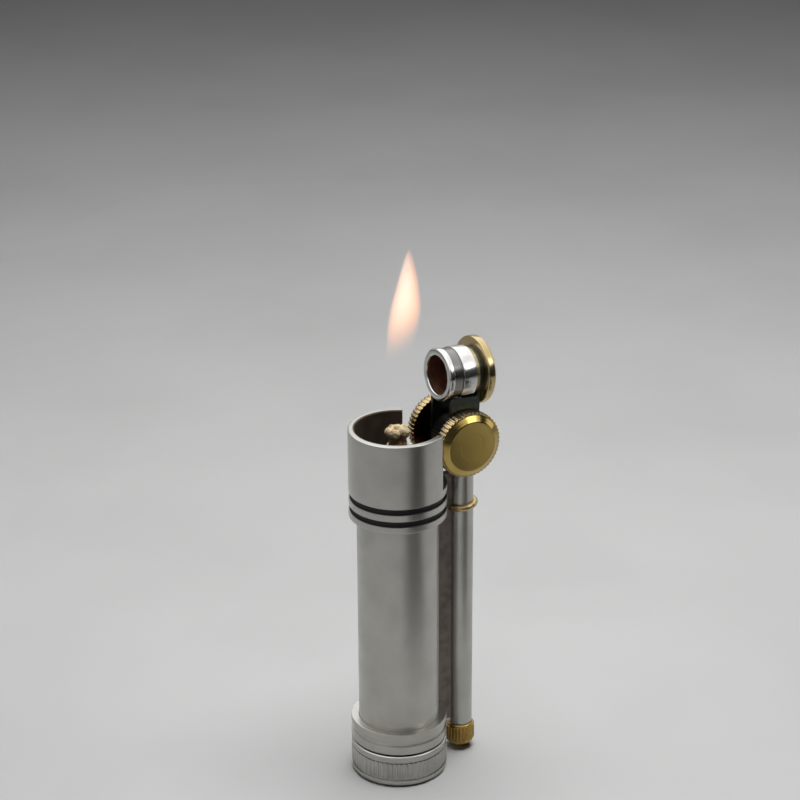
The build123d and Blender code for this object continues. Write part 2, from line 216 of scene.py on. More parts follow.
@dataclass(frozen=True)
class Finish:
    """A surface finish: a real material and how it was worked.

    Attributes:
        name: the material's name.
        colour: its main colour, as an sRGB hex value.
        other: the colour of its stain, wear or tarnish.
        metallic: one for metals, nought for the rest.
        roughness: the middle of its roughness.
        patch_mm: size of the patches of the other colour.
        uneven: how far the roughness wanders either way.
    """

    name: str
    colour: str
    other: str
    metallic: float = 1.0
    roughness: float = 0.3
    patch_mm: float = 1.6
    uneven: float = 0.05

    def build(self) -> bpy.types.Material:
        """Makes the material: patches of two colours, uneven sheen and the surface's relief.

        Returns:
            The material, made only once for each name.
        """
        if self.name in bpy.data.materials:
            return bpy.data.materials[self.name]
        material = bpy.data.materials.new(self.name)
        material.use_nodes = True
        tree = material.node_tree
        shader = tree.nodes["Principled BSDF"]
        shader.inputs["Metallic"].default_value = self.metallic
        patches = grain(tree, (self.patch_mm,) * 3, 3.0)
        tree.links.new(self.paint(tree, patches), shader.inputs["Base Color"])
        tree.links.new(self.sheen(tree, patches), shader.inputs["Roughness"])
        height, depth_mm = self.relief(tree)
        bump = add_node(tree, "ShaderNodeBump", {"Distance": depth_mm * MM}, {"Height": height})
        tree.links.new(bump.outputs["Normal"], shader.inputs["Normal"])
        self.extras(tree, shader)
        return material

    def paint(self, tree: Tree, patches: Socket) -> Socket:
        """Mixes the two colours by the patches.

        Args:
            tree: the material's node tree.
            patches: noise from nought to one.

        Returns:
            The colour's socket.
        """
        stops = list(zip(PATCH_EDGES, (linear(self.colour), linear(self.other))))
        ramp = add_node(tree, "ShaderNodeValToRGB", {"stops": stops}, {"Fac": patches})
        return ramp.outputs["Color"]

    def sheen(self, tree: Tree, patches: Socket) -> Socket:
        """Lets the roughness wander with the patches.

        Args:
            tree: the material's node tree.
            patches: noise from nought to one.

        Returns:
            The roughness's socket.
        """
        limits = {"From Min": SHEEN_EDGES[0], "From Max": SHEEN_EDGES[1],
                  "To Min": self.roughness - self.uneven, "To Max": self.roughness + self.uneven}
        return add_node(tree, "ShaderNodeMapRange", limits, {"Value": patches}).outputs["Result"]

    def relief(self, tree: Tree) -> tuple[Socket, float]:
        """Fine even grain.

        Args:
            tree: the material's node tree.

        Returns:
            The height's socket and the depth in millimetres that one stands for.
        """
        return grain(tree, (0.12, 0.12, 0.12)), 0.004

    def extras(self, tree: Tree, shader: bpy.types.Node) -> None:
        """Adds nothing by default; some finishes set more sockets here."""


@dataclass(frozen=True)
class MattPaper(Finish):
    """Uncoated paper: no gloss at all."""

    def extras(self, tree: Tree, shader: bpy.types.Node) -> None:
        """Takes the gloss away."""
        shader.inputs["Specular IOR Level"].default_value = 0.0


@dataclass(frozen=True)
class LathePolishedSteel(Finish):
    """Stainless tube polished while it spins: fine rings that draw reflections out lengthwise.

    Attributes:
        ring_mm: spacing of the rings; real ones are near 0.02 mm, too fine to show.
        soot_radius_mm: the wall inside this radius is sooted by the flame; nought for none.
        groove_shade_radius_mm: below the rim's slot, near-black painted shade lies inside this radius,
            in the grooves and the bore.
        groove_shade_edge_mm: depth over which the painted shade thickens.
        groove_shade_top_mm: height under which the grooves lie, and the painted shade with them.
        flake_mm: size of the soot's patches.
    """

    ring_mm: float = 0.12
    soot_radius_mm: float = 0.0
    groove_shade_radius_mm: float = 0.0
    groove_shade_edge_mm: float = 0.12
    groove_shade_top_mm: float = 0.0
    flake_mm: float = 2.5

    def relief(self, tree: Tree) -> tuple[Socket, float]:
        """Polishing rings round the tube."""
        return grain(tree, (9.0, 9.0, self.ring_mm)), 0.0015

    def extras(self, tree: Tree, shader: bpy.types.Node) -> None:
        """Covers the bore with brown soot and paints near-black shade into the turned grooves.

        Args:
            tree: the material's node tree.
            shader: its principled shader.
        """
        if not self.soot_radius_mm:
            return
        radius = axis_distance(tree, ORIGIN, UPWARDS)
        inside = add_node(tree, "ShaderNodeMath",
                          {"operation": "LESS_THAN", 1: self.soot_radius_mm * MM}, {0: radius})
        stops = [(0.35, linear("#382E26")), (0.68, linear("#574A3D"))]
        flakes = grain(tree, (self.flake_mm,) * 3, 4.0)
        soot = add_node(tree, "ShaderNodeValToRGB", {"stops": stops}, {"Fac": flakes})
        self.cover(tree, shader, inside.outputs["Value"], soot.outputs["Color"], 0.55)
        # Painted shade: near-black laid into the turned grooves, and the bore, below the given height.
        low = add_node(tree, "ShaderNodeMath",
                       {"operation": "LESS_THAN", 1: self.groove_shade_top_mm * MM},
                       {0: height_above_floor(tree)})
        full = self.groove_shade_radius_mm - self.groove_shade_edge_mm
        sunk = add_node(tree, "ShaderNodeMapRange",
                        {"From Min": self.groove_shade_radius_mm * MM, "From Max": full * MM},
                        {"Value": radius})
        groove_shade = add_node(tree, "ShaderNodeMath", {"operation": "MULTIPLY"},
                         {0: low.outputs["Value"], 1: sunk.outputs["Result"]})
        black = add_node(tree, "ShaderNodeRGB")
        black.outputs["Color"].default_value = linear("#1D1817")
        self.cover(tree, shader, groove_shade.outputs["Value"], black.outputs["Color"], 0.5)

    def cover(self, tree: Tree, shader: bpy.types.Node, where: Socket, colour: Socket,
              roughness: float) -> None:
        """Lays a film over part of the steel, which then shines less like metal: the soot, and the
        painted shade in the grooves.

        Args:
            tree: the material's node tree.
            shader: its principled shader.
            where: one where the film lies.
            colour: the film's colour.
            roughness: the film's roughness.
        """
        paint, sheen, metal = (shader.inputs[name]
                               for name in ("Base Color", "Roughness", "Metallic"))
        tint = add_node(tree, "ShaderNodeMix", {"data_type": "RGBA"},
                        {0: where, 6: paint.links[0].from_socket, 7: colour})
        tree.links.new(tint.outputs[2], paint)
        dull = add_node(tree, "ShaderNodeMix", {"data_type": "FLOAT", 3: roughness},
                        {0: where, 2: sheen.links[0].from_socket})
        tree.links.new(dull.outputs[0], sheen)
        bare = add_node(tree, "ShaderNodeMath",
                        {"operation": "MULTIPLY_ADD", 1: -FILM_HIDES_METAL, 2: 1.0}, {0: where})
        if metal.links:
            bare = add_node(tree, "ShaderNodeMath", {"operation": "MULTIPLY"},
                            {0: bare.outputs["Value"], 1: metal.links[0].from_socket})
        tree.links.new(bare.outputs["Value"], metal)


@dataclass(frozen=True)
class FacedBrass(Finish):
    """Free-cutting brass faced on a lathe: concentric tool lines, lightly tarnished.

    Attributes:
        centre_mm: a point on the turning axis.
        axis: direction of the turning axis.
        line_mm: spacing of the tool lines; real ones are near 0.05 mm.
    """

    centre_mm: tuple[float, float, float] = (0.0, 0.0, 0.0)
    axis: tuple[float, float, float] = (0.0, 0.0, 1.0)
    line_mm: float = 0.16

    def relief(self, tree: Tree) -> tuple[Socket, float]:
        """Tool lines: noise along the distance from the turning axis."""
        radius = axis_distance(tree, Vector(self.centre_mm) * MM, Vector(self.axis))
        lines = add_node(tree, "ShaderNodeTexNoise", {"noise_dimensions": "1D", "Detail": 1.0,
                                                      "Scale": 1 / (self.line_mm * MM)}, {"W": radius})
        return lines.outputs["Fac"], 0.005


@dataclass(frozen=True)
class HandledBrass(FacedBrass):
    """Turned brass that fingers rub: pale on the knurl, and painted dark brown on the inner side as the
    shade between the wheels.

    Attributes:
        worn: colour of the rubbed knurl.
        worn_radius_mm: the knurl lies outside this radius.
        inner_shade: colour of the painted shade on the inner side, between the wheels.
        inner_shade_side_mm: the painted shade lies within this distance of the wheel pair's middle.
    """

    worn: str = "#B7A37C"
    worn_radius_mm: float = 5.3
    inner_shade: str = "#6B4226"
    inner_shade_side_mm: float = 3.62

    def paint(self, tree: Tree, patches: Socket) -> Socket:
        """Mixes the brass's own colour with the wear and the painted shade of the inner side.

        Args:
            tree: the material's node tree.
            patches: noise from nought to one.

        Returns:
            The colour's socket.
        """
        plain = super().paint(tree, patches)
        radius = axis_distance(tree, Vector(self.centre_mm) * MM, Vector(self.axis))
        outside = add_node(tree, "ShaderNodeMath",
                           {"operation": "GREATER_THAN", 1: self.worn_radius_mm * MM}, {0: radius})
        rubbed = add_node(tree, "ShaderNodeMix", {"data_type": "RGBA", 7: linear(self.worn)},
                          {0: outside.outputs["Value"], 6: plain})
        # Painted shade: the wheels' inner sides, which face each other, turn dark brown.
        side = axis_station(tree, Vector(self.centre_mm) * MM, Vector(self.axis))
        apart = add_node(tree, "ShaderNodeMath", {"operation": "ABSOLUTE"}, {0: side})
        inner = add_node(tree, "ShaderNodeMath",
                         {"operation": "LESS_THAN", 1: self.inner_shade_side_mm * MM},
                         {0: apart.outputs["Value"]})
        both = add_node(tree, "ShaderNodeMix", {"data_type": "RGBA", 7: linear(self.inner_shade)},
                        {0: inner.outputs["Value"], 6: rubbed.outputs[2]})
        return both.outputs[2]


@dataclass(frozen=True)
class ChromePlate(Finish):
    """Chrome plate over polished brass: a mirror, but hazed by heat and rings at the waist.

    Attributes:
        mouth_mm: centre of the cup's mouth.
        axis: direction from the mouth to the cup's floor.
        waist_mm: distances from the mouth between which the haze lies.
        haze: colour of the hazed plate.
        haze_roughness: roughness of the hazed plate.
        ring_mm: spacing of the turning rings; real ones are near 0.05 mm apart.
    """

    mouth_mm: tuple[float, float, float] = (0.0, 0.0, 0.0)
    axis: tuple[float, float, float] = (0.0, 0.0, 1.0)
    waist_mm: tuple[float, float] = (0.95, 2.66)
    haze: str = "#7D7B78"
    haze_roughness: float = 0.24
    ring_mm: float = 0.22

    def hazed(self, tree: Tree) -> Socket:
        """One on the hazed waist of the cup and nought on the clear bands."""
        station = axis_station(tree, Vector(self.mouth_mm) * MM, Vector(self.axis))
        middle = sum(self.waist_mm) / 2 * MM
        reach = (self.waist_mm[1] - self.waist_mm[0]) / 2 * MM
        near = add_node(tree, "ShaderNodeMath", {"operation": "COMPARE", 1: middle, 2: reach},
                        {0: station})
        return near.outputs["Value"]

    def paint(self, tree: Tree, patches: Socket) -> Socket:
        """Greys the hazed waist.

        Args:
            tree: the material's node tree.
            patches: noise from nought to one.

        Returns:
            The colour's socket.
        """
        mix = add_node(tree, "ShaderNodeMix", {"data_type": "RGBA", 7: linear(self.haze)},
                       {0: self.hazed(tree), 6: super().paint(tree, patches)})
        return mix.outputs[2]

    def sheen(self, tree: Tree, patches: Socket) -> Socket:
        """Dulls the hazed waist.

        Args:
            tree: the material's node tree.
            patches: noise from nought to one.

        Returns:
            The roughness's socket.
        """
        mix = add_node(tree, "ShaderNodeMix", {"data_type": "FLOAT", 3: self.haze_roughness},
                       {0: self.hazed(tree), 2: super().sheen(tree, patches)})
        return mix.outputs[0]

    def relief(self, tree: Tree) -> tuple[Socket, float]:
        """Turning rings along the cup."""
        station = axis_station(tree, Vector(self.mouth_mm) * MM, Vector(self.axis))
        rings = add_node(tree, "ShaderNodeTexNoise", {"noise_dimensions": "1D", "Detail": 1.0,
                                                      "Scale": 1 / (self.ring_mm * MM)}, {"W": station})
        return rings.outputs["Fac"], 0.006


@dataclass(frozen=True)
class SpunCotton(Finish):
    """Spun cotton: matt fuzzy fibre, scorched brown where it meets the flame.

    Attributes:
        fibre_mm: width of the fibre bundles; single fibres are near 0.02 mm.
        scorch_top_mm: height under which heat has browned the wick; nought for none.
        scorch_fade_mm: height over which the browning comes in.
    """

    fibre_mm: float = 0.09
    scorch_top_mm: float = 0.0
    scorch_fade_mm: float = 0.5

    def relief(self, tree: Tree) -> tuple[Socket, float]:
        """Fibre bundles that run mostly upwards."""
        return grain(tree, (self.fibre_mm, self.fibre_mm, self.fibre_mm * 4), 3.0), 0.05

    def paint(self, tree: Tree, patches: Socket) -> Socket:
        """Browns the neck of the wick under its frayed head.

        Args:
            tree: the material's node tree.
            patches: noise from nought to one.

        Returns:
            The colour's socket.
        """
        plain = super().paint(tree, patches)
        if not self.scorch_top_mm:
            return plain
        full = self.scorch_top_mm - self.scorch_fade_mm
        low = add_node(tree, "ShaderNodeMapRange",
                       {"From Min": self.scorch_top_mm * MM, "From Max": full * MM},
                       {"Value": height_above_floor(tree)})
        mix = add_node(tree, "ShaderNodeMix", {"data_type": "RGBA", 7: linear("#B98553")},
                       {0: low.outputs["Result"], 6: plain})
        return mix.outputs[2]

    def extras(self, tree: Tree, shader: bpy.types.Node) -> None:
        """Gives the fuzz its soft edge glow and lets a little light through."""
        shader.inputs["Sheen Weight"].default_value = 0.35
        shader.inputs["Subsurface Weight"].default_value = 0.15
        shader.inputs["Subsurface Radius"].default_value = (0.0006, 0.0004, 0.0003)
        shader.inputs["Subsurface Scale"].default_value = 1.0


class Slot(str, Enum):
    """The record's material slots."""

    SATIN_STEEL = "satin_steel"
    PLATED_BRASS = "plated_brass"
    CHROME = "polished_chrome"
    BRASS = "turned_brass"
    DARK_STEEL = "dark_steel"
    HARD_STEEL = "hardened_steel"
    COPPER = "copper"
    FLINT = "flint_metal"
    COTTON = "cotton"
    FELT = "felt"
    RUBBER = "rubber"


# Polished stainless tube: mid grey with soft lengthwise bands of light.
TUBE_STEEL = LathePolishedSteel("stainless_tube_lathe_polished", "#B2B0AB", "#A8A6A1", roughness=0.33,
                                patch_mm=6.0, uneven=0.03)
# The same sleeve with its bore sooted brown-black by the flame, and near-black painted shade in its
# turned grooves.
CHIMNEY_STEEL = LathePolishedSteel("stainless_sleeve_sooted_bore", "#B4B2AD", "#A9A7A2", roughness=0.3,
                                   patch_mm=6.0, uneven=0.03, soot_radius_mm=7.2, groove_shade_radius_mm=7.9,
                                   groove_shade_top_mm=51.5)
# Nickelled brass burner fittings: greyish yellow, dulled by petrol smoke.
BURNER_PLATE = Finish("brass_nickel_plated_smoked", "#B6AC93", "#7D7058", roughness=0.34)
# Seam between the tubes: solder, darkened brown-black as painted shade for the deep gap between the
# tubes.
SEAM_SOLDER_PAINTED_SHADE = Finish("solder_seam_painted_shade", "#7C7168", "#655B52", metallic=0.3, roughness=0.5)
# Oil-blackened spring steel: near-black with a green-grey sheen and paler worn edges.
ARM_STEEL = Finish("steel_oil_blackened", "#4A4E4B", "#5C605B", roughness=0.36, patch_mm=0.9)
# Hardened tool steel, file-cut and blackened: dark grey.
FILE_STEEL = Finish("tool_steel_blackened", "#3B3937", "#2C2A29", roughness=0.5, patch_mm=0.6)
# Ground steel: bright grey pins and springs.
WHEEL_STEEL = Finish("tool_steel_ground", "#8E8C88", "#6B6965", roughness=0.3, patch_mm=0.6)
# Copper heated by the flame: reddish brown and nearly matt.
LINER_COPPER = Finish("copper_heat_browned", "#8A5C45", "#5E4436", metallic=0.7, roughness=0.5)
# Ferrocerium rod: dark grey, grainy.
FLINT_METAL = Finish("ferrocerium_extruded", "#55524F", "#3F3D3B", roughness=0.55, patch_mm=0.4)
# Wick head scorched by the flame: cream cotton browned in patches.
HEAD_COTTON = SpunCotton("cotton_wick_scorched", "#E6D4A8", "#96704A", metallic=0.0, roughness=0.9,
                         patch_mm=1.4, scorch_top_mm=60.9)
# Clean packed cotton: off white.
CLEAN_COTTON = SpunCotton("cotton_wadding_carded", "#EDE8DC", "#DDD5C4", metallic=0.0, roughness=0.95,
                          patch_mm=2.5, fibre_mm=0.2)
# Pressed wool felt: grey, dense and matt.
WOOL_FELT = SpunCotton("wool_felt_pressed", "#8C8982", "#77746D", metallic=0.0, roughness=0.95)
# Nitrile rubber washer: black with a dull sheen.
WASHER_RUBBER = Finish("nitrile_rubber_moulded", "#1B1B1C", "#262627", metallic=0.0, roughness=0.55)
# Uncoated papers of the studio: the pale floor, and cards that shade the metal.
FLOOR_PAPER = MattPaper("paper_backdrop_matt", "#D9DAD9", "#D3D4D3", metallic=0.0, roughness=0.9,
                        patch_mm=60)
BLACK_CARD = MattPaper("card_black_matt", "#0B0B0B", "#0D0D0D", metallic=0.0, roughness=0.9)
GREY_CARD = MattPaper("card_grey_matt", "#7A7A79", "#747473", metallic=0.0, roughness=0.9)


# ---- modelling --------------------------------------------------------------------------
def select_only(obj: bpy.types.Object) -> None:
    """Deselects everything, then selects one object and makes it active."""
    bpy.ops.object.select_all(action="DESELECT")
    obj.select_set(True)
    bpy.context.view_layer.objects.active = obj


class Workpiece:
    """One mesh on the bench: shaped by Blender's edit-mode tools, then finished as a piece.

    Attributes:
        obj: the object that holds the mesh.
    """

    def __init__(self, obj: bpy.types.Object, name: str) -> None:
        """Takes an object as the workpiece.

        Args:
            obj: a mesh object.
            name: the piece's name.
        """
        self.obj = obj
        self.obj.name = name
        self.obj.data.name = name

    @classmethod
    def turned(cls, name: str, centre: Vector, axis: Vector, profile: Sequence[tuple[float, float]],
               steps: int = 128) -> "Workpiece":
        """Spins a profile round an axis, as a lathe turns a bar.

        Args:
            name: the piece's name.
            centre: point on the axis where stations count from, in metres.
            axis: the axis's unit direction.
            profile: radius and station of each corner, in millimetres.
            steps: facets round the axis.

        Returns:
            The closed workpiece.
        """
        side = axis.orthogonal().normalized()
        corners = [centre + side * (radius * MM) + axis * (station * MM) for radius, station in profile]
        bpy.ops.object.select_all(action="DESELECT")
        bpy.ops.mesh.primitive_plane_add(size=MM, location=corners[0])
        piece = cls(bpy.context.object, name)
        bpy.ops.object.mode_set(mode="EDIT")
        bpy.ops.mesh.select_mode(type="VERT")
        bpy.ops.mesh.select_all(action="SELECT")
        bpy.ops.mesh.merge(type="CENTER")
        for start, end in zip(corners, corners[1:]):
            bpy.ops.mesh.extrude_region_move(TRANSFORM_OT_translate={"value": end - start})
        bpy.ops.mesh.select_all(action="SELECT")
        bpy.ops.mesh.spin(steps=steps, angle=FULL_TURN, center=centre, axis=axis)
        piece.close_up()
        return piece

    @classmethod
    def bar(cls, name: str, low: Vector, high: Vector, radius: float, sides: int = 96) -> "Workpiece":
        """Cuts a round bar between two points.

        Args:
            name: the piece's name.
            low: centre of one end.
            high: centre of the other end.
            radius: the bar's radius, in metres.
            sides: facets round it.

        Returns:
            The workpiece.
        """
        axis = high - low
        turn = axis.to_track_quat("Z", "Y").to_euler()
        bpy.ops.object.select_all(action="DESELECT")
        bpy.ops.mesh.primitive_cylinder_add(vertices=sides, radius=radius, depth=axis.length,
                                            location=(low + high) / 2, rotation=turn)
        return cls(bpy.context.object, name)

    @classmethod
    def welded_copy(cls, name: str, node: str) -> "Workpiece":
        """Copies a CAD node's mesh and welds its loose triangles into clean faces.

        Args:
            name: the piece's name.
            node: the CAD node.

        Returns:
            The workpiece, with flat faces whole again.
        """
        obj = bpy.data.objects.new(name, frame["nodes"][node].data.copy())
        bpy.context.scene.collection.objects.link(obj)
        select_only(obj)
        bpy.ops.mesh.customdata_custom_splitnormals_clear()
        bpy.ops.object.mode_set(mode="EDIT")
        bpy.ops.mesh.select_all(action="SELECT")
        bpy.ops.mesh.remove_doubles(threshold=WELD)
        bpy.ops.mesh.dissolve_limited(angle_limit=math.radians(0.4))
        bpy.ops.object.mode_set(mode="OBJECT")
        return cls(obj, name)

    def select_cap(self, direction: Vector) -> Vector:
        """Selects the outermost flat face that looks along a direction, in edit mode.

        Args:
            direction: unit direction.

        Returns:
            The face's centre.
        """
        place = self.obj.matrix_world
        mesh = bmesh.from_edit_mesh(self.obj.data)
        bpy.ops.mesh.select_all(action="DESELECT")
        looking = [face for face in mesh.faces
                   if (place.to_3x3() @ face.normal).normalized().dot(direction) > FACING]
        cap = max(looking, key=lambda face: (place @ face.calc_center_median()).dot(direction))
        cap.select_set(True)
        bmesh.update_edit_mesh(self.obj.data)
        return place @ cap.calc_center_median()

    def step_cap(self, direction: Vector, from_radius: float,
                 steps: Sequence[tuple[float, float]]) -> "Workpiece":
        """Draws the end face out or in, one ring of faces for each step.

        Args:
            direction: unit direction in which the end face looks.
            from_radius: radius of the end face, in metres.
            steps: new radius and shift along the direction, in metres, one pair a step.

        Returns:
            The workpiece.
        """
        select_only(self.obj)
        bpy.ops.object.mode_set(mode="EDIT")
        bpy.ops.mesh.select_mode(type="FACE")
        centre = self.select_cap(direction)
        radius = from_radius
        for new_radius, shift in steps:
            bpy.ops.mesh.extrude_region_move(TRANSFORM_OT_translate={"value": direction * shift})
            centre = centre + direction * shift
            share = new_radius / radius
            bpy.ops.transform.resize(value=(share, share, share), center_override=centre)
            radius = new_radius
        bpy.ops.object.mode_set(mode="OBJECT")
        return self

    def knurl(self, axis_point: Vector, axis: Vector, height: float, taper: float) -> "Workpiece":
        """Raises every other side face as a knurling rib.

        Args:
            axis_point: a point on the bar's axis.
            axis: the axis's unit direction.
            height: height of a rib.
            taper: how far a rib's crest draws in all round.

        Returns:
            The workpiece.
        """
        side = axis.orthogonal().normalized()
        across = axis.cross(side)
        sides = sum(1 for polygon in self.obj.data.polygons if len(polygon.vertices) == 4)
        place = self.obj.matrix_world
        select_only(self.obj)
        bpy.ops.object.mode_set(mode="EDIT")
        bpy.ops.mesh.select_mode(type="FACE")
        mesh = bmesh.from_edit_mesh(self.obj.data)
        for face in mesh.faces:
            offset = place @ face.calc_center_median() - axis_point
            turn = math.atan2(offset.dot(across), offset.dot(side)) % FULL_TURN
            normal = (place.to_3x3() @ face.normal).normalized()
            on_side = abs(normal.dot(axis)) <= 0.5
            face.select_set(on_side and int(turn / FULL_TURN * sides) % 2 == 0)
        mesh.select_flush_mode()
        bmesh.update_edit_mesh(self.obj.data)
        bpy.ops.mesh.inset(thickness=taper, depth=height, use_individual=True)
        bpy.ops.object.mode_set(mode="OBJECT")
        return self

    def round_edges(self, width_mm: float, segments: int = 2, over_deg: float = 25) -> "Workpiece":
        """Rounds every edge sharper than an angle.

        Args:
            width_mm: width of the rounding.
            segments: faces across it.
            over_deg: the least angle that counts as an edge.

        Returns:
            The workpiece.
        """
        modifier = self.obj.modifiers.new("rounding", "BEVEL")
        modifier.width = width_mm * MM
        modifier.segments = segments
        modifier.limit_method = "ANGLE"
        modifier.angle_limit = math.radians(over_deg)
        modifier.use_clamp_overlap = True
        return self.apply("rounding")

    def apply(self, modifier: str) -> "Workpiece":
        """Applies a modifier by name."""
        select_only(self.obj)
        bpy.ops.object.modifier_apply(modifier=modifier)
        return self

    def close_up(self) -> None:
        """Merges doubles, turns all normals outwards and leaves edit mode."""
        bpy.ops.mesh.select_all(action="SELECT")
        bpy.ops.mesh.remove_doubles(threshold=WELD)
        bpy.ops.mesh.normals_make_consistent(inside=False)
        bpy.ops.object.mode_set(mode="OBJECT")

    def mirrored(self, name: str, plane_normal: Vector) -> "Workpiece":
        """Copies the workpiece to the other side of a plane through the origin.

        Args:
            name: the copy's name.
            plane_normal: the plane's unit normal, along X, Y or Z.

        Returns:
            The copy, with a mesh of its own.
        """
        select_only(self.obj)
        bpy.ops.object.duplicate()
        twin = Workpiece(bpy.context.object, name)
        bpy.ops.mesh.customdata_custom_splitnormals_clear()
        flip = tuple(-1.0 if abs(part) > 0.5 else 1.0 for part in plane_normal)
        bpy.ops.object.mode_set(mode="EDIT")
        bpy.ops.mesh.select_all(action="SELECT")
        bpy.ops.transform.resize(value=flip, center_override=(0.0, 0.0, 0.0))
        twin.close_up()
        return twin

    def finish(self, finish: bpy.types.Material, smooth_deg: float = 35) -> "Workpiece":
        """Shades the workpiece with its flats kept flat, seats its place in its mesh and dresses it.

        Args:
            finish: the material that covers it.
            smooth_deg: edges softer than this are shaded smooth.

        Returns:
            The workpiece.
        """
        select_only(self.obj)
        bpy.ops.object.transform_apply(location=True, rotation=True, scale=True)
        bpy.ops.object.shade_smooth_by_angle(angle=math.radians(smooth_deg))
        flats = self.obj.modifiers.new("flats", "WEIGHTED_NORMAL")
        flats.keep_sharp = True
        flats.weight = LARGEST_FACE_WINS
        self.apply("flats")
        self.obj.data.materials.clear()
        self.obj.data.materials.append(finish)
        return self

    def seat(self, body: str, slot: Slot, *nodes: str) -> bpy.types.Object:
        """Puts the piece on its CAD body, in place of its CAD nodes.

        Args:
            body: the CAD body that it moves with.
            slot: the record's material slot; not used.
            nodes: the CAD nodes that it stands for.

        Returns:
            The piece's object.
        """
        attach(self.obj, body)
        if nodes:
            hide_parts(*nodes)
        LOG.info("%s: %d faces on %s", self.obj.name, len(self.obj.data.polygons), body)
        return self.obj


def dress_node(node: str, finish: bpy.types.Material) -> None:
    """Dresses a CAD node that keeps its own mesh.

    Args:
        node: the CAD node.
        finish: the material that covers it.
    """
    obj = frame["nodes"][node]
    obj.data.materials.clear()
    obj.data.materials.append(finish)
    LOG.info("%s: dressed as %s", node, finish.name)


def joint_named(name: str) -> dict[str, Any]:
    """Finds a joint of the frame by its name."""
    return next(joint for joint in frame["joints"] if joint["name"] == name)


def box_centre(node: str) -> Vector:
    """Centre of a CAD node's box at rest."""
    low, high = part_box(node)
    return (low + high) / 2


# ---- sub-assemblies ---------------------------------------------------------------------
@dataclass
class SoftenedPart:
    """A CAD piece whose sharp edges are broken by a small rounding.

    Attributes:
        node: the CAD node.
        body: the CAD body that it belongs to.
        slot: the record's material slot.
        edge_mm: width of the rounding.
    """

    node: str
    body: str
    slot: Slot
    edge_mm: float = 0.1

    def build(self, finish: bpy.types.Material) -> bpy.types.Object:
        """Makes the rounded piece in place of its node.

        Args:
            finish: the material that covers it.

        Returns:
            The piece.
        """
        piece = Workpiece.welded_copy(f"{self.node}_softened", self.node)
        piece.round_edges(self.edge_mm, over_deg=35)
        return piece.finish(finish, smooth_deg=40).seat(self.body, self.slot, self.node)


@dataclass
class FuelTube:
    """The tank, its chimney and burner, the spine, the flint tube and what fills them.

    Attributes:
        bead_r_mm: radius of the brass bead's crown.
        bead_half_mm: half the bead's height.
        tube_r_mm: outer radius of the flint tube.
        bead_lean_deg: how far the bead sits askew, lower towards the tank.
        bead_edge_mm: width of the bead's flat rim beyond the tube.
        crown_steps: facets across the bead's crown.
        wadding_gap_mm: room between the tank's wall and the wadding.
        wadding_levels: creases from the wadding's foot to its top.
        body: the CAD body of it all.
    """

    bead_r_mm: float = 2.8
    bead_half_mm: float = 0.5
    tube_r_mm: float = 2.075
    bead_lean_deg: float = 6.0
    bead_edge_mm: float = 0.3
    crown_steps: int = 12
    wadding_gap_mm: float = 0.25
    wadding_levels: int = 24
    body: str = "lighter_body"

    def build(self) -> None:
        """Makes and dresses every piece of the fuel tube."""
        steel = TUBE_STEEL.build()
        for node, finish, edge_mm in (("chimney", CHIMNEY_STEEL.build(), 0.14),
                                      ("tank_collar", steel, 0.12), ("flint_tube", steel, 0.1),
                                      ("spine_rail", SEAM_SOLDER_PAINTED_SHADE.build(), 0.08)):
            SoftenedPart(node, self.body, Slot.SATIN_STEEL, edge_mm).build(finish)
        dress_node("tank_tube", steel)
        brass = BURNER_PLATE.build()
        SoftenedPart("wick_tube", self.body, Slot.PLATED_BRASS, 0.08).build(brass)
        for node in ("burner_plate", "tank_thread_ring"):
            dress_node(node, brass)
        self.bead()
        self.wadding()
        dress_node("felt_pad", WOOL_FELT.build())

    def bead(self) -> bpy.types.Object:
        """Turns the rounded brass ring that grips the flint tube.

        Returns:
            The ring.
        """
        centre = box_centre("flint_tube")
        centre.z = box_centre("flint_tube_bead").z
        grip_r = self.tube_r_mm + 0.01
        edge_r = self.tube_r_mm + self.bead_edge_mm
        half = self.bead_half_mm
        turns = [math.pi * (step / self.crown_steps - 0.5) for step in range(self.crown_steps + 1)]
        crown = [(edge_r + (self.bead_r_mm - edge_r) * math.cos(turn), half * math.sin(turn))
                 for turn in turns]
        profile = [(grip_r, -half), *crown, (grip_r, half), (grip_r, -half)]
        lean = math.radians(self.bead_lean_deg)
        askew = Vector((-math.sin(lean), 0, math.cos(lean)))
        ring = Workpiece.turned("bead_ring", centre, askew, profile, 96)
        ring.round_edges(0.06, over_deg=40)
        brass = FacedBrass("brass_turned_bead", "#AE9970", "#85704B", roughness=0.3,
                           centre_mm=tuple(centre / MM), line_mm=0.2).build()
        return ring.finish(brass).seat(self.body, Slot.BRASS, "flint_tube_bead")

    def wadding(self) -> bpy.types.Object:
        """Makes the carded cotton that fills the tank, creased and lumpy.

        Returns:
            The wadding.
        """
        low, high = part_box("cotton_wadding")
        height = (high.z - low.z) / MM
        outer = (high.x - low.x) / 2 / MM - self.wadding_gap_mm
        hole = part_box("wick_tube")[1].x / MM + 0.3
        corner = outer - 0.8
        levels = range(1, self.wadding_levels)
        wall = [(outer - 0.35 * math.sin(step * 2.1) ** 2, height * step / self.wadding_levels)
                for step in levels]
        bore = [(hole + 0.1 * math.sin(step * 1.7) ** 2, height * step / self.wadding_levels)
                for step in reversed(levels)]
        profile = [(hole, 0.3), (corner, 0.2), *wall, (corner, height - 0.2),
                   (hole, height - 0.3), *bore, (hole, 0.3)]
        pack = Workpiece.turned("wadding_pack", UPWARDS * low.z, UPWARDS, profile, 96)
        pack.finish(CLEAN_COTTON.build(), smooth_deg=80)
        Lumps("wadding", 3.0, 0.18).raise_on(pack)
        pack.seat(self.body, Slot.COTTON, "cotton_wadding")
        return pack.obj


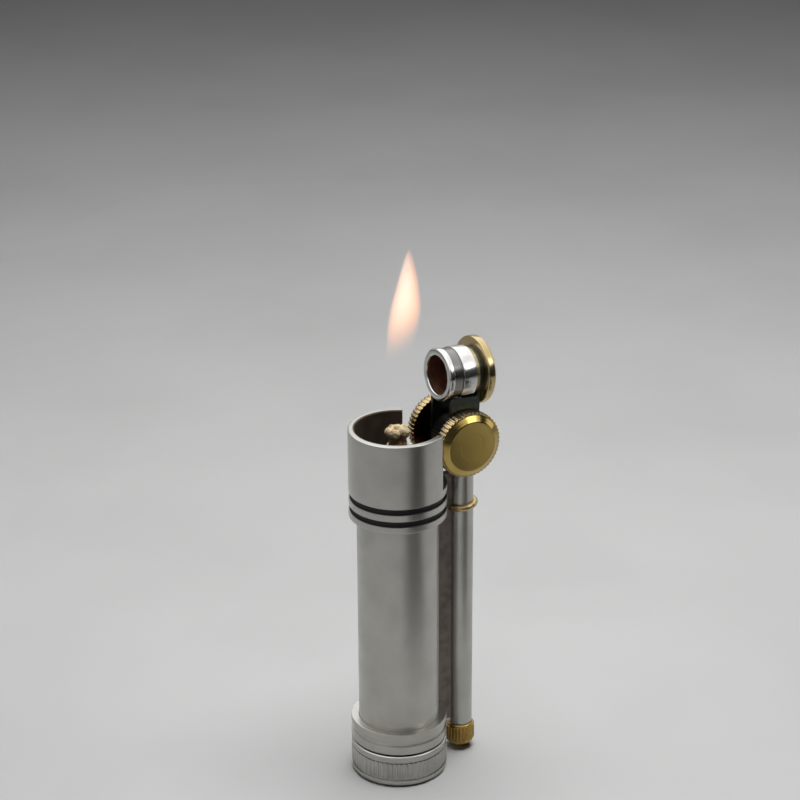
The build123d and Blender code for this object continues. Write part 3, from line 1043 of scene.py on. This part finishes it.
@dataclass(frozen=True)
class Lumps:
    """Soft lumps that a cloud pattern raises on a piece.

    Attributes:
        name: the pattern's name.
        size_mm: size of a lump.
        height_mm: the most that a lump stands proud.
    """

    name: str
    size_mm: float
    height_mm: float

    def raise_on(self, piece: Workpiece) -> None:
        """Moves the piece's surface in and out by the pattern.

        Args:
            piece: the workpiece, whose mesh is fine enough to show the lumps.
        """
        clouds = bpy.data.textures.new(self.name, "CLOUDS")
        clouds.noise_scale = self.size_mm * MM
        modifier = piece.obj.modifiers.new("lumps", "DISPLACE")
        modifier.texture = clouds
        modifier.texture_coords = "GLOBAL"
        modifier.strength = self.height_mm * MM * 2
        modifier.mid_level = 0.5
        piece.apply("lumps")
        bpy.data.textures.remove(clouds)


@dataclass
class Wick:
    """The cotton wick: a twisted cord in its tube and a frayed head above it.

    Attributes:
        cord_r_mm: radius of the cord.
        plies: strands twisted together.
        pitch_mm: length of one turn of the twist.
        seed: seed of the fraying.
        tufts: tufts round the head, besides the one in its middle.
        hairs: loose fibres.
        stem_mm: radii of the stem from its foot up.
        stem_step_mm: height from one of them to the next.
        felt_mm: grain size at which the tufts melt together.
        soften_rounds: how often their surface is evened.
        body: the CAD body of it all.
    """

    cord_r_mm: float = 1.35
    plies: int = 3
    pitch_mm: float = 9.0
    seed: int = 7
    tufts: int = 7
    hairs: int = 60
    stem_mm: tuple[float, ...] = (1.5, 1.45, 1.4, 1.1)
    stem_step_mm: float = 0.85
    felt_mm: float = 0.07
    soften_rounds: int = 12
    body: str = "lighter_body"

    def build(self) -> None:
        """Makes the cord and its head."""
        cotton = HEAD_COTTON.build()
        self.cord(cotton)
        self.head(cotton)

    def tube(self, name: str, path: Sequence[Vector], radii_mm: Sequence[float],
             resolution: int = 3) -> Workpiece:
        """Makes a round strand along a smooth path.

        Args:
            name: the strand's name.
            path: control points of the path, in metres.
            radii_mm: radius of the strand at each point.
            resolution: roundness of the strand's section.

        Returns:
            The strand as a mesh.
        """
        bpy.ops.object.select_all(action="DESELECT")
        bpy.ops.curve.primitive_nurbs_path_add()
        strand = bpy.context.object
        strand.data.splines.clear()
        spline = strand.data.splines.new("NURBS")
        spline.points.add(len(path) - 1)
        for point, place, radius_mm in zip(spline.points, path, radii_mm):
            point.co = (*place, 1.0)
            point.radius = radius_mm
        spline.order_u = 3
        spline.use_endpoint_u = True
        spline.resolution_u = 4
        strand.data.bevel_depth = MM
        strand.data.bevel_resolution = resolution
        strand.data.use_fill_caps = True
        bpy.ops.object.convert(target="MESH")
        return Workpiece(bpy.context.object, name)

    def join(self, name: str, pieces: Sequence[Workpiece]) -> Workpiece:
        """Joins workpieces into one.

        Args:
            name: the joined piece's name.
            pieces: the workpieces.

        Returns:
            The joined workpiece.
        """
        select_only(pieces[0].obj)
        for piece in pieces[1:]:
            piece.obj.select_set(True)
        bpy.ops.object.join()
        return Workpiece(bpy.context.object, name)

    def cord(self, cotton: bpy.types.Material) -> bpy.types.Object:
        """Twists the plies into the cord that runs down into the wadding.

        Args:
            cotton: the cord's material.

        Returns:
            The cord.
        """
        low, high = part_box("wick")
        ply_r_mm = self.cord_r_mm * 0.5
        turn_r = (self.cord_r_mm - ply_r_mm) * MM
        length = high.z - low.z
        count = round(length / MM * 8 / self.pitch_mm)
        strands = []
        for ply in range(self.plies):
            path = []
            for step in range(count + 1):
                rise = length * step / count
                turn = FULL_TURN * (ply / self.plies + rise / MM / self.pitch_mm)
                path.append(Vector((turn_r * math.cos(turn), turn_r * math.sin(turn), low.z + rise)))
            strands.append(self.tube(f"ply_{ply}", path, [ply_r_mm] * len(path)))
        cord = self.join("wick_cord", strands)
        return cord.finish(cotton, smooth_deg=60).seat(self.body, Slot.COTTON, "wick")

    def head(self, cotton: bpy.types.Material) -> bpy.types.Object:
        """Frays the cord's end into tufts and loose fibres.

        Args:
            cotton: the head's material.

        Returns:
            The head, with a mesh of its own.
        """
        source = random.Random(self.seed)
        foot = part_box("wick_head")[0].z
        rises = [step * self.stem_step_mm * MM for step in range(len(self.stem_mm))]
        stem = self.tube("stem", [UPWARDS * (foot + rise) for rise in rises], self.stem_mm)
        pieces = [stem]
        for tuft in range(self.tufts + 1):
            outer = tuft < self.tufts
            turn = FULL_TURN * (tuft / self.tufts + 0.03) + source.uniform(-0.28, 0.28)
            spread = source.uniform(1.15, 1.4) if outer else 0.0
            out = Vector((math.cos(turn), math.sin(turn), 0))
            rise = source.uniform(2.7, 3.2) if outer else 3.25
            shape = ((0.7, 1.5), (spread * 0.9, 1.9), (spread, rise - 0.35), (spread * 0.85, rise))
            path = [UPWARDS * (foot + z * MM) + out * (r * MM) for r, z in shape]
            size = source.uniform(0.8, 1.05)
            pieces.append(self.tube(f"tuft_{tuft}", path, [0.55, size, size * 0.95, 0.45], 4))
        mass = self.join("head_mass", pieces)
        self.fuse(mass)
        hairs = self.fibres(source, foot)
        head = self.join("wick_head_frayed", [mass, *hairs])
        head.finish(cotton, smooth_deg=70).seat(self.body, Slot.COTTON, "wick_head")
        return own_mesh(head.obj)

    def fuse(self, mass: Workpiece) -> None:
        """Melts the tufts into one fuzzy mass.

        Args:
            mass: the joined tufts.
        """
        select_only(mass.obj)
        bpy.ops.object.transform_apply(location=True, rotation=True, scale=True)
        remesh = mass.obj.modifiers.new("felted", "REMESH")
        remesh.mode = "VOXEL"
        remesh.voxel_size = self.felt_mm * MM
        mass.apply("felted")
        soften = mass.obj.modifiers.new("soften", "SMOOTH")
        soften.iterations = self.soften_rounds
        mass.apply("soften")
        Lumps("tufts", 0.8, 0.2).raise_on(mass)
        Lumps("fuzz", 0.16, 0.05).raise_on(mass)

    def fibres(self, source: random.Random, foot: float) -> list[Workpiece]:
        """Pulls loose fibres out of the head.

        Args:
            source: seeded source of chance.
            foot: height of the head's foot.

        Returns:
            The fibres.
        """
        hairs = []
        for number in range(self.hairs):
            turn = source.uniform(0, FULL_TURN)
            out = Vector((math.cos(turn), math.sin(turn), 0))
            start_r = source.uniform(1.0, 1.9)
            reach = source.uniform(0.15, 0.42)
            start = UPWARDS * (foot + source.uniform(1.8, 2.8) * MM) + out * (start_r * MM)
            swirl = Vector((-out.y, out.x, 0)) * source.uniform(-0.4, 0.4)
            middle = start + (out * 0.7 + swirl + UPWARDS * 0.5) * (reach * MM)
            lift = UPWARDS * source.uniform(-0.4, 0.7)
            end = middle + (out * 0.3 - swirl + lift) * (reach * MM)
            hairs.append(self.tube(f"fibre_{number}", [start, middle, end], [0.03, 0.025, 0.012], 1))
        return hairs


@dataclass
class Striker:
    """The striker: two knurled brass thumb wheels, the spark wheel, the axle and their fork.

    Attributes:
        ribs: knurling ribs on a wheel.
        rib_mm: height of a rib.
        crest_mm: how far a rib's crest draws in all round.
        face_mm: radius of the flat face inside its bevel.
        shoulder_mm: radius at the outer edge of the bevel.
        rim_mm: outer edge of the knurled band, from the middle.
        boss_mm: radius of the boss on the inner side.
        band_foot_mm: inner edge of the knurled band, from the middle.
        hold: share of the bevel, and millimetres of the face, that keep their edges crisp.
        smooth_deg: edges softer than this are shaded smooth.
        body: the CAD body of it all.
    """

    ribs: int = 48
    rib_mm: float = 0.17
    crest_mm: float = 0.05
    face_mm: float = 4.2
    shoulder_mm: float = 5.2
    rim_mm: float = 5.35
    boss_mm: float = 1.9
    band_foot_mm: float = 3.57
    hold: float = 0.1
    smooth_deg: float = 24.0
    body: str = "striker"

    def build(self) -> None:
        """Makes and dresses the striker's pieces."""
        hub = box_centre("axle")
        axis = -FRONT
        brass = HandledBrass("brass_faced_and_knurled", "#B09757", "#A9904F", roughness=0.16,
                             patch_mm=4.0, uneven=0.02, centre_mm=tuple(hub / MM),
                             axis=tuple(axis)).build()
        front = self.thumb_wheel(hub, brass)
        back = front.mirrored("back_thumb_wheel", axis)
        back.finish(brass, smooth_deg=self.smooth_deg)
        front.seat(self.body, Slot.BRASS, "thumb_wheel_front")
        back.seat(self.body, Slot.BRASS, "thumb_wheel_back")
        ground = WHEEL_STEEL.build()
        dress_node("spark_wheel", FILE_STEEL.build())
        for node in ("axle", "wave_washers"):
            dress_node(node, ground)
        SoftenedPart("wheel_fork", "lighter_body", Slot.SATIN_STEEL, 0.1).build(ARM_STEEL.build())

    def thumb_wheel(self, hub: Vector, brass: bpy.types.Material) -> Workpiece:
        """Turns and knurls the front wheel.

        Args:
            hub: centre of the axle.
            brass: the wheel's material.

        Returns:
            The wheel.
        """
        low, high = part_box("thumb_wheel_front")
        radius = (high.z - low.z) / 2
        root = radius - self.rib_mm * MM
        inner = hub + FRONT * (self.band_foot_mm * MM)
        outer = hub + FRONT * (self.rim_mm * MM)
        wheel = Workpiece.bar("front_thumb_wheel", inner, outer, root, self.ribs * 2)
        wheel.knurl(hub, FRONT, self.rib_mm * MM, self.crest_mm * MM)
        rise = -low.y - self.rim_mm * MM
        slope = self.shoulder_mm - self.face_mm
        hold = self.hold
        bevel = [(self.shoulder_mm - slope * share, rise * step) for share, step in
                 ((0.0, 0.0), (hold, hold), (1 - hold, 1 - 2 * hold), (1.0, hold))]
        face = [(self.face_mm - hold, 0.0), (self.face_mm * 0.5, 0.0)]
        wheel.step_cap(FRONT, root, [(radius_mm * MM, shift) for radius_mm, shift in (*bevel, *face)])
        boss = self.band_foot_mm * MM + high.y
        wheel.step_cap(-FRONT, root, [(self.shoulder_mm * MM, 0.0), (self.boss_mm * MM, 0.0),
                                      (self.boss_mm * MM, boss)])
        wheel.round_edges(0.07, over_deg=20)
        return wheel.finish(brass, smooth_deg=self.smooth_deg)


@dataclass
class Snuffer:
    """The polished cup, its copper liner and brass disc, on the swinging arm.

    Attributes:
        reach_mm: from the axle to the cup's axis.
        drop_mm: from the axle to the cup's mouth, measured with the snuffer shut.
        cup_mm: outer radius of the cup.
        bore_mm: radius of the cup's mouth.
        wall_mm: thickness of the liner.
        floor_mm: depth of the cup.
        neck_mm: height of the neck's end above the mouth.
        disc_mm: radius of the disc.
        disc_foot_mm: height of the disc's inner face above the mouth.
        disc_thick_mm: thickness of the disc.
        waist_cut_mm: how much slimmer the waist is than the bands, and the line than the waist.
        neck_cut_mm: how much slimmer the neck is.
        liner_foot_mm: distance of the liner's rim from the mouth.
        fit_mm: room between the liner and the cup.
        rivet_mm: radius of the rivet's hole.
        lip_mm: rounding of the lip's inner and outer edge.
        broken_mm: broken edge of the disc.
        body: the CAD body of it all.
    """

    reach_mm: float = 10.75
    drop_mm: float = 3.83
    cup_mm: float = 4.33
    bore_mm: float = 3.19
    wall_mm: float = 0.24
    floor_mm: float = 5.1
    neck_mm: float = 5.78
    disc_mm: float = 5.555
    disc_foot_mm: float = 6.48
    disc_thick_mm: float = 1.34
    waist_cut_mm: float = 0.12
    neck_cut_mm: float = 0.3
    liner_foot_mm: float = 0.5
    fit_mm: float = 0.01
    rivet_mm: float = 0.9
    lip_mm: tuple[float, float] = (0.25, 0.42)
    broken_mm: float = 0.15
    body: str = "snuffer"

    def __post_init__(self) -> None:
        """Works out the mouth's place and the cup's direction with the snuffer open."""
        swing = joint_named("snuffer_swing")
        opened = Matrix.Rotation(math.radians(-swing["range_deg"][0]), 3, "Y")
        hub = Vector(swing["pos_m"])
        self.mouth = hub + opened @ Vector((-self.reach_mm * MM, 0, -self.drop_mm * MM))
        self.axis = opened @ UPWARDS

    def build(self) -> None:
        """Makes and dresses the snuffer's pieces."""
        self.cup()
        self.liner()
        self.disc()
        SoftenedPart("snuffer_arm", self.body, Slot.DARK_STEEL, 0.12).build(ARM_STEEL.build())
        dress_node("snuffer_rivet", WHEEL_STEEL.build())

    def cup(self) -> bpy.types.Object:
        """Turns the cup: rounded lip, waist with a fine line, plain band and neck.

        Returns:
            The cup.
        """
        outer, neck = self.cup_mm, self.cup_mm - self.neck_cut_mm
        waist = outer - self.waist_cut_mm
        line = waist - self.waist_cut_mm
        bore, seat = self.bore_mm, self.bore_mm + self.wall_mm
        inner_lip, outer_lip = self.lip_mm
        arc = [(math.sin(turn), 1 - math.cos(turn)) for turn in
               (math.radians(step * 15) for step in range(7))]
        profile = [
            *((bore + inner_lip * rise, inner_lip * (1 - run)) for run, rise in arc),
            *((outer - outer_lip * (1 - run), outer_lip * rise) for run, rise in arc),
            (outer, 0.94), (waist, 1.06), (waist, 2.46), (line, 2.5), (line, 2.62),
            (outer, 2.7), (outer, 5.1), (neck, 5.25), (neck, self.neck_mm),
            (self.rivet_mm, self.neck_mm), (self.rivet_mm, self.floor_mm),
            (seat, self.floor_mm), (seat, self.liner_foot_mm), (bore, self.liner_foot_mm),
            (bore, inner_lip),
        ]
        cup = Workpiece.turned("polished_cup", self.mouth, self.axis, profile, 160)
        cup.round_edges(0.07, segments=3, over_deg=20)
        chrome = ChromePlate("brass_chrome_plated", "#D0CFCD", "#C2C0BE", roughness=0.19, uneven=0.03,
                             mouth_mm=tuple(self.mouth / MM), axis=tuple(self.axis))
        return cup.finish(chrome.build(), smooth_deg=30).seat(self.body, Slot.CHROME, "snuffer_cup")

    def liner(self) -> bpy.types.Object:
        """Turns the copper liner, closed by a thin floor.

        Returns:
            The liner.
        """
        bore, hole = self.bore_mm, self.rivet_mm + 0.05
        outer = bore + self.wall_mm - self.fit_mm
        rim, depth = self.liner_foot_mm + self.fit_mm, self.floor_mm - self.fit_mm
        floor, corner = depth - 0.1, 0.25
        profile = [(outer, rim), (outer, depth), (hole, depth), (hole, floor),
                   (bore - corner, floor), (bore, floor - corner), (bore, rim), (outer, rim)]
        liner = Workpiece.turned("copper_liner", self.mouth, self.axis, profile, 96)
        liner.round_edges(0.04, over_deg=40)
        return liner.finish(LINER_COPPER.build()).seat(self.body, Slot.COPPER, "snuffer_liner")

    def disc(self) -> bpy.types.Object:
        """Turns the brass disc behind the cup.

        Returns:
            The disc.
        """
        foot, edge = self.disc_foot_mm, self.broken_mm
        top = foot + self.disc_thick_mm
        hole_top = foot + 0.8
        profile = [(self.rivet_mm, foot), (self.disc_mm - edge, foot), (self.disc_mm, foot + edge),
                   (self.disc_mm, top - edge), (self.disc_mm - edge, top), (0.0, top),
                   (0.0, hole_top), (self.rivet_mm, hole_top), (self.rivet_mm, foot)]
        disc = Workpiece.turned("brass_disc", self.mouth, self.axis, profile, 128)
        disc.round_edges(0.08, segments=3, over_deg=20)
        brass = FacedBrass("brass_turned_disc", "#B9A67B", "#AC996E", roughness=0.2, patch_mm=4.0,
                           centre_mm=tuple(self.mouth / MM), axis=tuple(self.axis)).build()
        return disc.finish(brass, smooth_deg=30).seat(self.body, Slot.BRASS, "snuffer_disc")


@dataclass
class FootAndFeed:
    """The unscrewing foot with its gasket, and the flint with what pushes it up."""

    def build(self) -> None:
        """Makes and dresses the pieces at the foot and in the flint tube."""
        steel = TUBE_STEEL.build()
        SoftenedPart("filler_cap", "foot", Slot.SATIN_STEEL, 0.08).build(steel)
        brass = FacedBrass("brass_turned_screw", "#A58A4F", "#84683A", roughness=0.3,
                           centre_mm=tuple(box_centre("flint_tube") / MM)).build()
        SoftenedPart("flint_screw", "flint_plug", Slot.BRASS, 0.06).build(brass)
        dress_node("flint_plunger", brass)
        dress_node("flint", FLINT_METAL.build())
        dress_node("filler_gasket", WASHER_RUBBER.build())
        self.spring()

    def spring(self) -> bpy.types.Object:
        """Copies the coil spring and gives it a mesh of its own.

        Returns:
            The spring.
        """
        coil = Workpiece.welded_copy("flint_spring_coil", "flint_spring")
        coil.finish(WHEEL_STEEL.build(), smooth_deg=60)
        coil.seat("flint_coil", Slot.HARD_STEEL, "flint_spring")
        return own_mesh(coil.obj)


# ---- flame and studio -------------------------------------------------------------------
@dataclass(frozen=True)
class GlowLayer:
    """One glowing layer of the flame.

    Attributes:
        colour: the light's linear colour.
        strength: how strongly it glows.
        side_mm: how far its middle lies from the flame's middle, along the lean.
        solid: share of the half width inside which it glows fully.
        fade_in: shares of the height between which it comes in.
    """

    colour: Colour
    strength: float
    side_mm: float
    solid: float
    fade_in: tuple[float, float]


# Thin orange envelope that the whole flame wears.
ENVELOPE = GlowLayer((1.0, 0.38, 0.13, 1.0), 160.0, 0.0, 0.82, (0.12, 0.5))
# White-hot soot in the middle and upper part.
HOT_CORE = GlowLayer((1.0, 0.88, 0.79, 1.0), 96.0, -0.35, 0.3, (0.3, 0.72))


@dataclass
class Flame:
    """The petrol flame: a leaning teardrop of light above the wick, part of the stage.

    Attributes:
        foot_mm: height where it starts to glow.
        tip_mm: height of its tip.
        reach_mm: greatest half width.
        lean_mm: how far its tip leans to one side.
        lean_deg: direction of the lean, from +X towards +Y.
        wick_mm: height down to which it is snuffed; not used.
        bend: height and share of the lean along the flame's middle line.
        width: height and share of the half width along it.
        back_set: share of the lean by which the middle line lies back.
        slant: how much sooner it glows on the side away from the lean.
        growth: glow at the foot, and what the tip has more.
        shell_widths: half widths of the shell round the glow, from foot to tip.
    """

    foot_mm: float = 71.0
    tip_mm: float = 92.6
    reach_mm: float = 2.75
    lean_mm: float = 2.3
    lean_deg: float = -29.7
    wick_mm: float = 62.0
    bend: tuple[tuple[float, float], ...] = ((0, 0.0), (0.3, 0.42), (0.65, 0.84), (1, 1.0))
    width: tuple[tuple[float, float], ...] = ((0, 0.62), (0.25, 0.88), (0.45, 0.96), (0.66, 0.74),
                                              (0.86, 0.36), (1, 0.0))
    back_set: float = 0.12
    slant: float = -0.1
    growth: tuple[float, float] = (0.5, 1.1)
    shell_widths: tuple[float, ...] = (0.0, 0.75, 1.05, 1.15, 1.15, 1.1, 1.0, 0.8, 0.5, 0.0)

    def build(self) -> bpy.types.Object:
        """Makes the flame's shell and its glow.

        Returns:
            The flame, with a mesh of its own.
        """
        height = self.tip_mm - self.foot_mm
        turn = math.radians(self.lean_deg)
        lean = Vector((math.cos(turn), math.sin(turn), 0))
        last = len(self.shell_widths) - 1
        profile = [(self.reach_mm * share, height * step / last)
                   for step, share in enumerate(self.shell_widths)]
        shell = Workpiece.turned("flame", UPWARDS * (self.foot_mm * MM), UPWARDS, profile, 48)
        select_only(shell.obj)
        bpy.ops.object.transform_apply(location=True, rotation=True, scale=True)
        for vertex in shell.obj.data.vertices:
            share = (vertex.co.z / MM - self.foot_mm) / height
            vertex.co += lean * (self.lean_mm * MM * math.sin(share * math.pi / 2))
        shell.obj.data.materials.clear()
        shell.obj.data.materials.append(self.glow(lean))
        LOG.info("flame: %.1f mm high", height)
        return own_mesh(shell.obj)

    def glow(self, lean: Vector) -> bpy.types.Material:
        """Makes the glowing gas: white-hot soot in an orange envelope, clear at the foot.

        Args:
            lean: unit direction of the lean.

        Returns:
            The material.
        """
        material = bpy.data.materials.new("petrol_flame_luminous_soot")
        material.use_nodes = True
        tree = material.node_tree
        tree.nodes.clear()
        limits = {"From Min": self.foot_mm * MM, "From Max": self.tip_mm * MM}
        height = add_node(tree, "ShaderNodeMapRange", limits,
                          {"Value": height_above_floor(tree)}).outputs["Result"]
        bend = add_node(tree, "ShaderNodeFloatCurve", {"curve": self.bend}, {"Value": height})
        lower = add_node(tree, "ShaderNodeMath", {"operation": "SUBTRACT", 1: self.back_set},
                         {0: bend.outputs["Value"]})
        shift = add_node(tree, "ShaderNodeVectorMath",
                         {"operation": "SCALE", 0: tuple(lean * self.lean_mm * MM)},
                         {"Scale": lower.outputs["Value"]})
        place = add_node(tree, "ShaderNodeTexCoord").outputs["Object"]
        centred = add_node(tree, "ShaderNodeVectorMath", {"operation": "SUBTRACT"},
                           {0: place, 1: shift.outputs["Vector"]}).outputs["Vector"]
        sooner = lean * (self.slant / (self.reach_mm * MM))
        tilt = add_node(tree, "ShaderNodeVectorMath", {"operation": "DOT_PRODUCT", 1: tuple(sooner)},
                        {0: centred})
        risen = add_node(tree, "ShaderNodeMath", {"operation": "ADD"},
                         {0: height, 1: tilt.outputs["Value"]}).outputs["Value"]
        foot_glow, more = self.growth
        boost = add_node(tree, "ShaderNodeMath", {"operation": "MULTIPLY_ADD", 1: more, 2: foot_glow},
                         {0: height}).outputs["Value"]
        layers = []
        for layer in (ENVELOPE, HOT_CORE):
            spoke = self.spoke(tree, height, centred, lean * (layer.side_mm * MM))
            power = boost
            for value, (start, end) in ((spoke, (1.0, layer.solid)), (risen, layer.fade_in)):
                eased = add_node(tree, "ShaderNodeMapRange",
                                 {"From Min": start, "From Max": end,
                                  "interpolation_type": "SMOOTHSTEP"}, {"Value": value})
                power = add_node(tree, "ShaderNodeMath", {"operation": "MULTIPLY"},
                                 {0: power, 1: eased.outputs["Result"]}).outputs["Value"]
            strong = add_node(tree, "ShaderNodeMath", {"operation": "MULTIPLY", 1: layer.strength},
                              {0: power})
            light = add_node(tree, "ShaderNodeEmission", {"Color": layer.colour},
                             {"Strength": strong.outputs["Value"]})
            layers.append(light.outputs["Emission"])
        both = add_node(tree, "ShaderNodeAddShader", links={0: layers[0], 1: layers[1]})
        add_node(tree, "ShaderNodeOutputMaterial", links={"Volume": both.outputs["Shader"]})
        material.cycles.volume_step_rate = 0.1
        return material

    def spoke(self, tree: Tree, height: Socket, centred: Socket, side: Vector) -> Socket:
        """Share of the flame's half width at which a point lies from a layer's middle.

        Args:
            tree: the material's node tree.
            height: share of the flame's height.
            centred: place counted from the flame's middle line.
            side: where the layer's middle lies from that line.

        Returns:
            The share's socket: nought in the middle and one at the edge.
        """
        width = add_node(tree, "ShaderNodeFloatCurve", {"curve": self.width}, {"Value": height})
        aside = add_node(tree, "ShaderNodeVectorMath", {"operation": "SUBTRACT", 1: tuple(side)},
                         {0: centred})
        flat = add_node(tree, "ShaderNodeVectorMath", {"operation": "MULTIPLY", 1: (1.0, 1.0, 0.0)},
                        {0: aside.outputs["Vector"]})
        radius = add_node(tree, "ShaderNodeVectorMath", {"operation": "LENGTH"},
                          {0: flat.outputs["Vector"]})
        wide = add_node(tree, "ShaderNodeMath",
                        {"operation": "MULTIPLY_ADD", 1: self.reach_mm * MM, 2: THINNEST},
                        {0: width.outputs["Value"]})
        share = add_node(tree, "ShaderNodeMath", {"operation": "DIVIDE"},
                         {0: radius.outputs["Value"], 1: wide.outputs["Value"]})
        return share.outputs["Value"]


@dataclass(frozen=True)
class Softbox:
    """A soft rectangular light.

    Attributes:
        name: its name.
        place: its centre, in metres.
        target: the point that it faces, in metres.
        size: its width and height, in metres.
        power: its power, in watts.
        on_floor: whether it lights matt surfaces; otherwise only metal shows it.
    """

    name: str
    place: tuple[float, float, float]
    target: tuple[float, float, float]
    size: tuple[float, float]
    power: float
    on_floor: bool = False

    def hang(self) -> None:
        """Hangs the light."""
        place = Vector(self.place)
        turn = (place - Vector(self.target)).to_track_quat("Z", "Y").to_euler()
        bpy.ops.object.light_add(type="AREA", location=place, rotation=turn)
        lamp = bpy.context.object
        lamp.name = self.name
        lamp.data.shape = "RECTANGLE"
        lamp.data.size, lamp.data.size_y = self.size
        lamp.data.energy = self.power
        lamp.visible_diffuse = self.on_floor
        lamp.visible_glossy = not self.on_floor


@dataclass(frozen=True)
class Card:
    """A card that lies in front of the object and that only reflections see.

    Attributes:
        name: its name.
        start: distance of its near edge from the origin, in metres.
        end: distance of its far edge.
        width: its width, in metres.
        turn_deg: its direction, from -Y towards +X.
        paper: its finish.
    """

    name: str
    start: float
    end: float
    width: float
    turn_deg: float
    paper: Finish

    def lay(self) -> None:
        """Lays the card a millimetre above the floor."""
        turn = math.radians(self.turn_deg)
        outwards = Vector((math.sin(turn), -math.cos(turn), 0))
        place = outwards * ((self.start + self.end) / 2) + UPWARDS * MM
        bpy.ops.object.select_all(action="DESELECT")
        bpy.ops.mesh.primitive_plane_add(size=1.0, location=place, rotation=(0, 0, turn))
        card = bpy.context.object
        card.name = self.name
        bpy.ops.transform.resize(value=(self.width, self.end - self.start, 1.0))
        bpy.ops.object.transform_apply(location=True, rotation=True, scale=True)
        card.data.materials.append(self.paper.build())
        card.visible_camera = False
        card.visible_diffuse = False
        card.visible_shadow = False
        card.visible_transmission = False


OBJECT_MIDDLE = (0.0, 0.0, 0.05)
# The key lights the floor; the silks only show in the metal.
LIGHTS = (
    Softbox("key", (0.04, 0.0, 0.43), OBJECT_MIDDLE, (0.3, 0.3), 1.9, on_floor=True),
    Softbox("ceiling_silk", (0.1, 0.15, 0.55), (0.1, 0.15, 0.0), (1.6, 1.7), 11.0),
    Softbox("front_silk", (0.31, -0.44, 0.41), OBJECT_MIDDLE, (0.24, 0.2), 0.42),
    Softbox("right_silk", (0.7, 0.0, 0.12), OBJECT_MIDDLE, (0.5, 0.3), 0.55),
)
# The cards draw the dark lines on the metal.
CARDS = (
    Card("near_flag", 0.11, 0.3, 0.075, 15.0, BLACK_CARD),
    Card("far_flag", 0.32, 1.3, 0.5, 30.0, BLACK_CARD),
    Card("shade_flag", 0.055, 0.109, 0.08, 15.0, GREY_CARD),
)


@dataclass
class Studio:
    """Plain pale floor, soft light and the camera, all part of the stage.

    Attributes:
        azimuth_deg: the camera's turn round the object.
        elevation_deg: the camera's height above the level.
        roll_deg: the camera's roll.
        distance_mm: from the aimed point to the camera.
        lens_mm: focal length.
        sensor_mm: width of the sensor.
        aim_mm: the aimed point, as steps right and up from the chimney rim's centre.
        clip: nearest and furthest that the camera sees, in metres.
        floor_size: side of the floor, in metres.
        dark_deg: direction of the dark side of the room, from -Y towards +X.
        greys: how bright the room is, from its dark side to the far side.
    """

    azimuth_deg: float = -29.693
    elevation_deg: float = 22.909
    roll_deg: float = -0.29
    distance_mm: float = 385.376
    lens_mm: float = 108.597
    sensor_mm: float = 36.0
    aim_mm: tuple[float, float] = (0.414, 4.390)
    clip: tuple[float, float] = (0.01, 20.0)
    floor_size: float = 6.0
    dark_deg: float = 30.0
    greys: tuple[tuple[float, float], ...] = ((0.0, 0.03), (0.25, 0.05), (0.5, 0.45),
                                              (0.72, 0.68), (0.85, 0.55), (1.0, 0.4))

    def build(self) -> None:
        """Sets up the camera, the floor, the lights and the room."""
        self.camera()
        self.floor()
        for light in LIGHTS:
            light.hang()
        for card in CARDS:
            card.lay()
        self.room()

    def camera(self) -> bpy.types.Object:
        """Aims the camera.

        Returns:
            The camera.
        """
        turn, tilt, roll = (math.radians(value) for value in
                            (self.azimuth_deg, self.elevation_deg, self.roll_deg))
        back = Vector((math.sin(turn) * math.cos(tilt), -math.cos(turn) * math.cos(tilt),
                       math.sin(tilt)))
        level = Vector((math.cos(turn), math.sin(turn), 0))
        upright = back.cross(level)
        right = level * math.cos(roll) + upright * math.sin(roll)
        up = upright * math.cos(roll) - level * math.sin(roll)
        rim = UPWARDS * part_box("chimney")[1].z
        aim = rim + (right * self.aim_mm[0] + up * self.aim_mm[1]) * MM
        turned = Matrix((right, up, back)).transposed().to_4x4()
        bpy.ops.object.camera_add(location=aim + back * (self.distance_mm * MM),
                                  rotation=turned.to_euler())
        camera = bpy.context.object
        camera.data.lens = self.lens_mm
        camera.data.sensor_width = self.sensor_mm
        camera.data.clip_start, camera.data.clip_end = self.clip
        bpy.context.scene.camera = camera
        return camera

    def floor(self) -> None:
        """Lays the pale floor under the foot."""
        bpy.ops.object.select_all(action="DESELECT")
        bpy.ops.mesh.primitive_plane_add(size=self.floor_size, location=(0, 0, 0))
        floor = bpy.context.object
        floor.name = "floor"
        floor.data.materials.append(FLOOR_PAPER.build())

    def room(self) -> None:
        """Makes the room that metal reflects: pale behind, dark in front on the right."""
        world = bpy.data.worlds.new("studio")
        world.use_nodes = True
        world.cycles_visibility.diffuse = False
        tree = world.node_tree
        turn = math.radians(self.dark_deg)
        away = (-math.sin(turn), math.cos(turn), 0.0)
        place = add_node(tree, "ShaderNodeTexCoord")
        facing = add_node(tree, "ShaderNodeVectorMath", {"operation": "DOT_PRODUCT", 1: away},
                          {0: place.outputs["Generated"]})
        half = add_node(tree, "ShaderNodeMath", {"operation": "MULTIPLY_ADD", 1: 0.5, 2: 0.5},
                        {0: facing.outputs["Value"]})
        stops = [(position, (grey, grey, grey, 1.0)) for position, grey in self.greys]
        shade = add_node(tree, "ShaderNodeValToRGB", {"stops": stops},
                         {"Fac": half.outputs["Value"]})
        tree.links.new(shade.outputs["Color"], tree.nodes["Background"].inputs["Color"])
        bpy.context.scene.world = world
        bpy.context.scene.view_settings.view_transform = "Standard"


def main() -> None:
    """Builds the stage and every sub-assembly in order."""
    logging.basicConfig(level=logging.INFO, format="%(name)s: %(message)s")
    Studio().build()
    for assembly in (FuelTube(), Wick(), Striker(), Snuffer(), FootAndFeed(), Flame()):
        LOG.info("building %s", type(assembly).__name__)
        assembly.build()


if __name__ == "__main__":
    main()
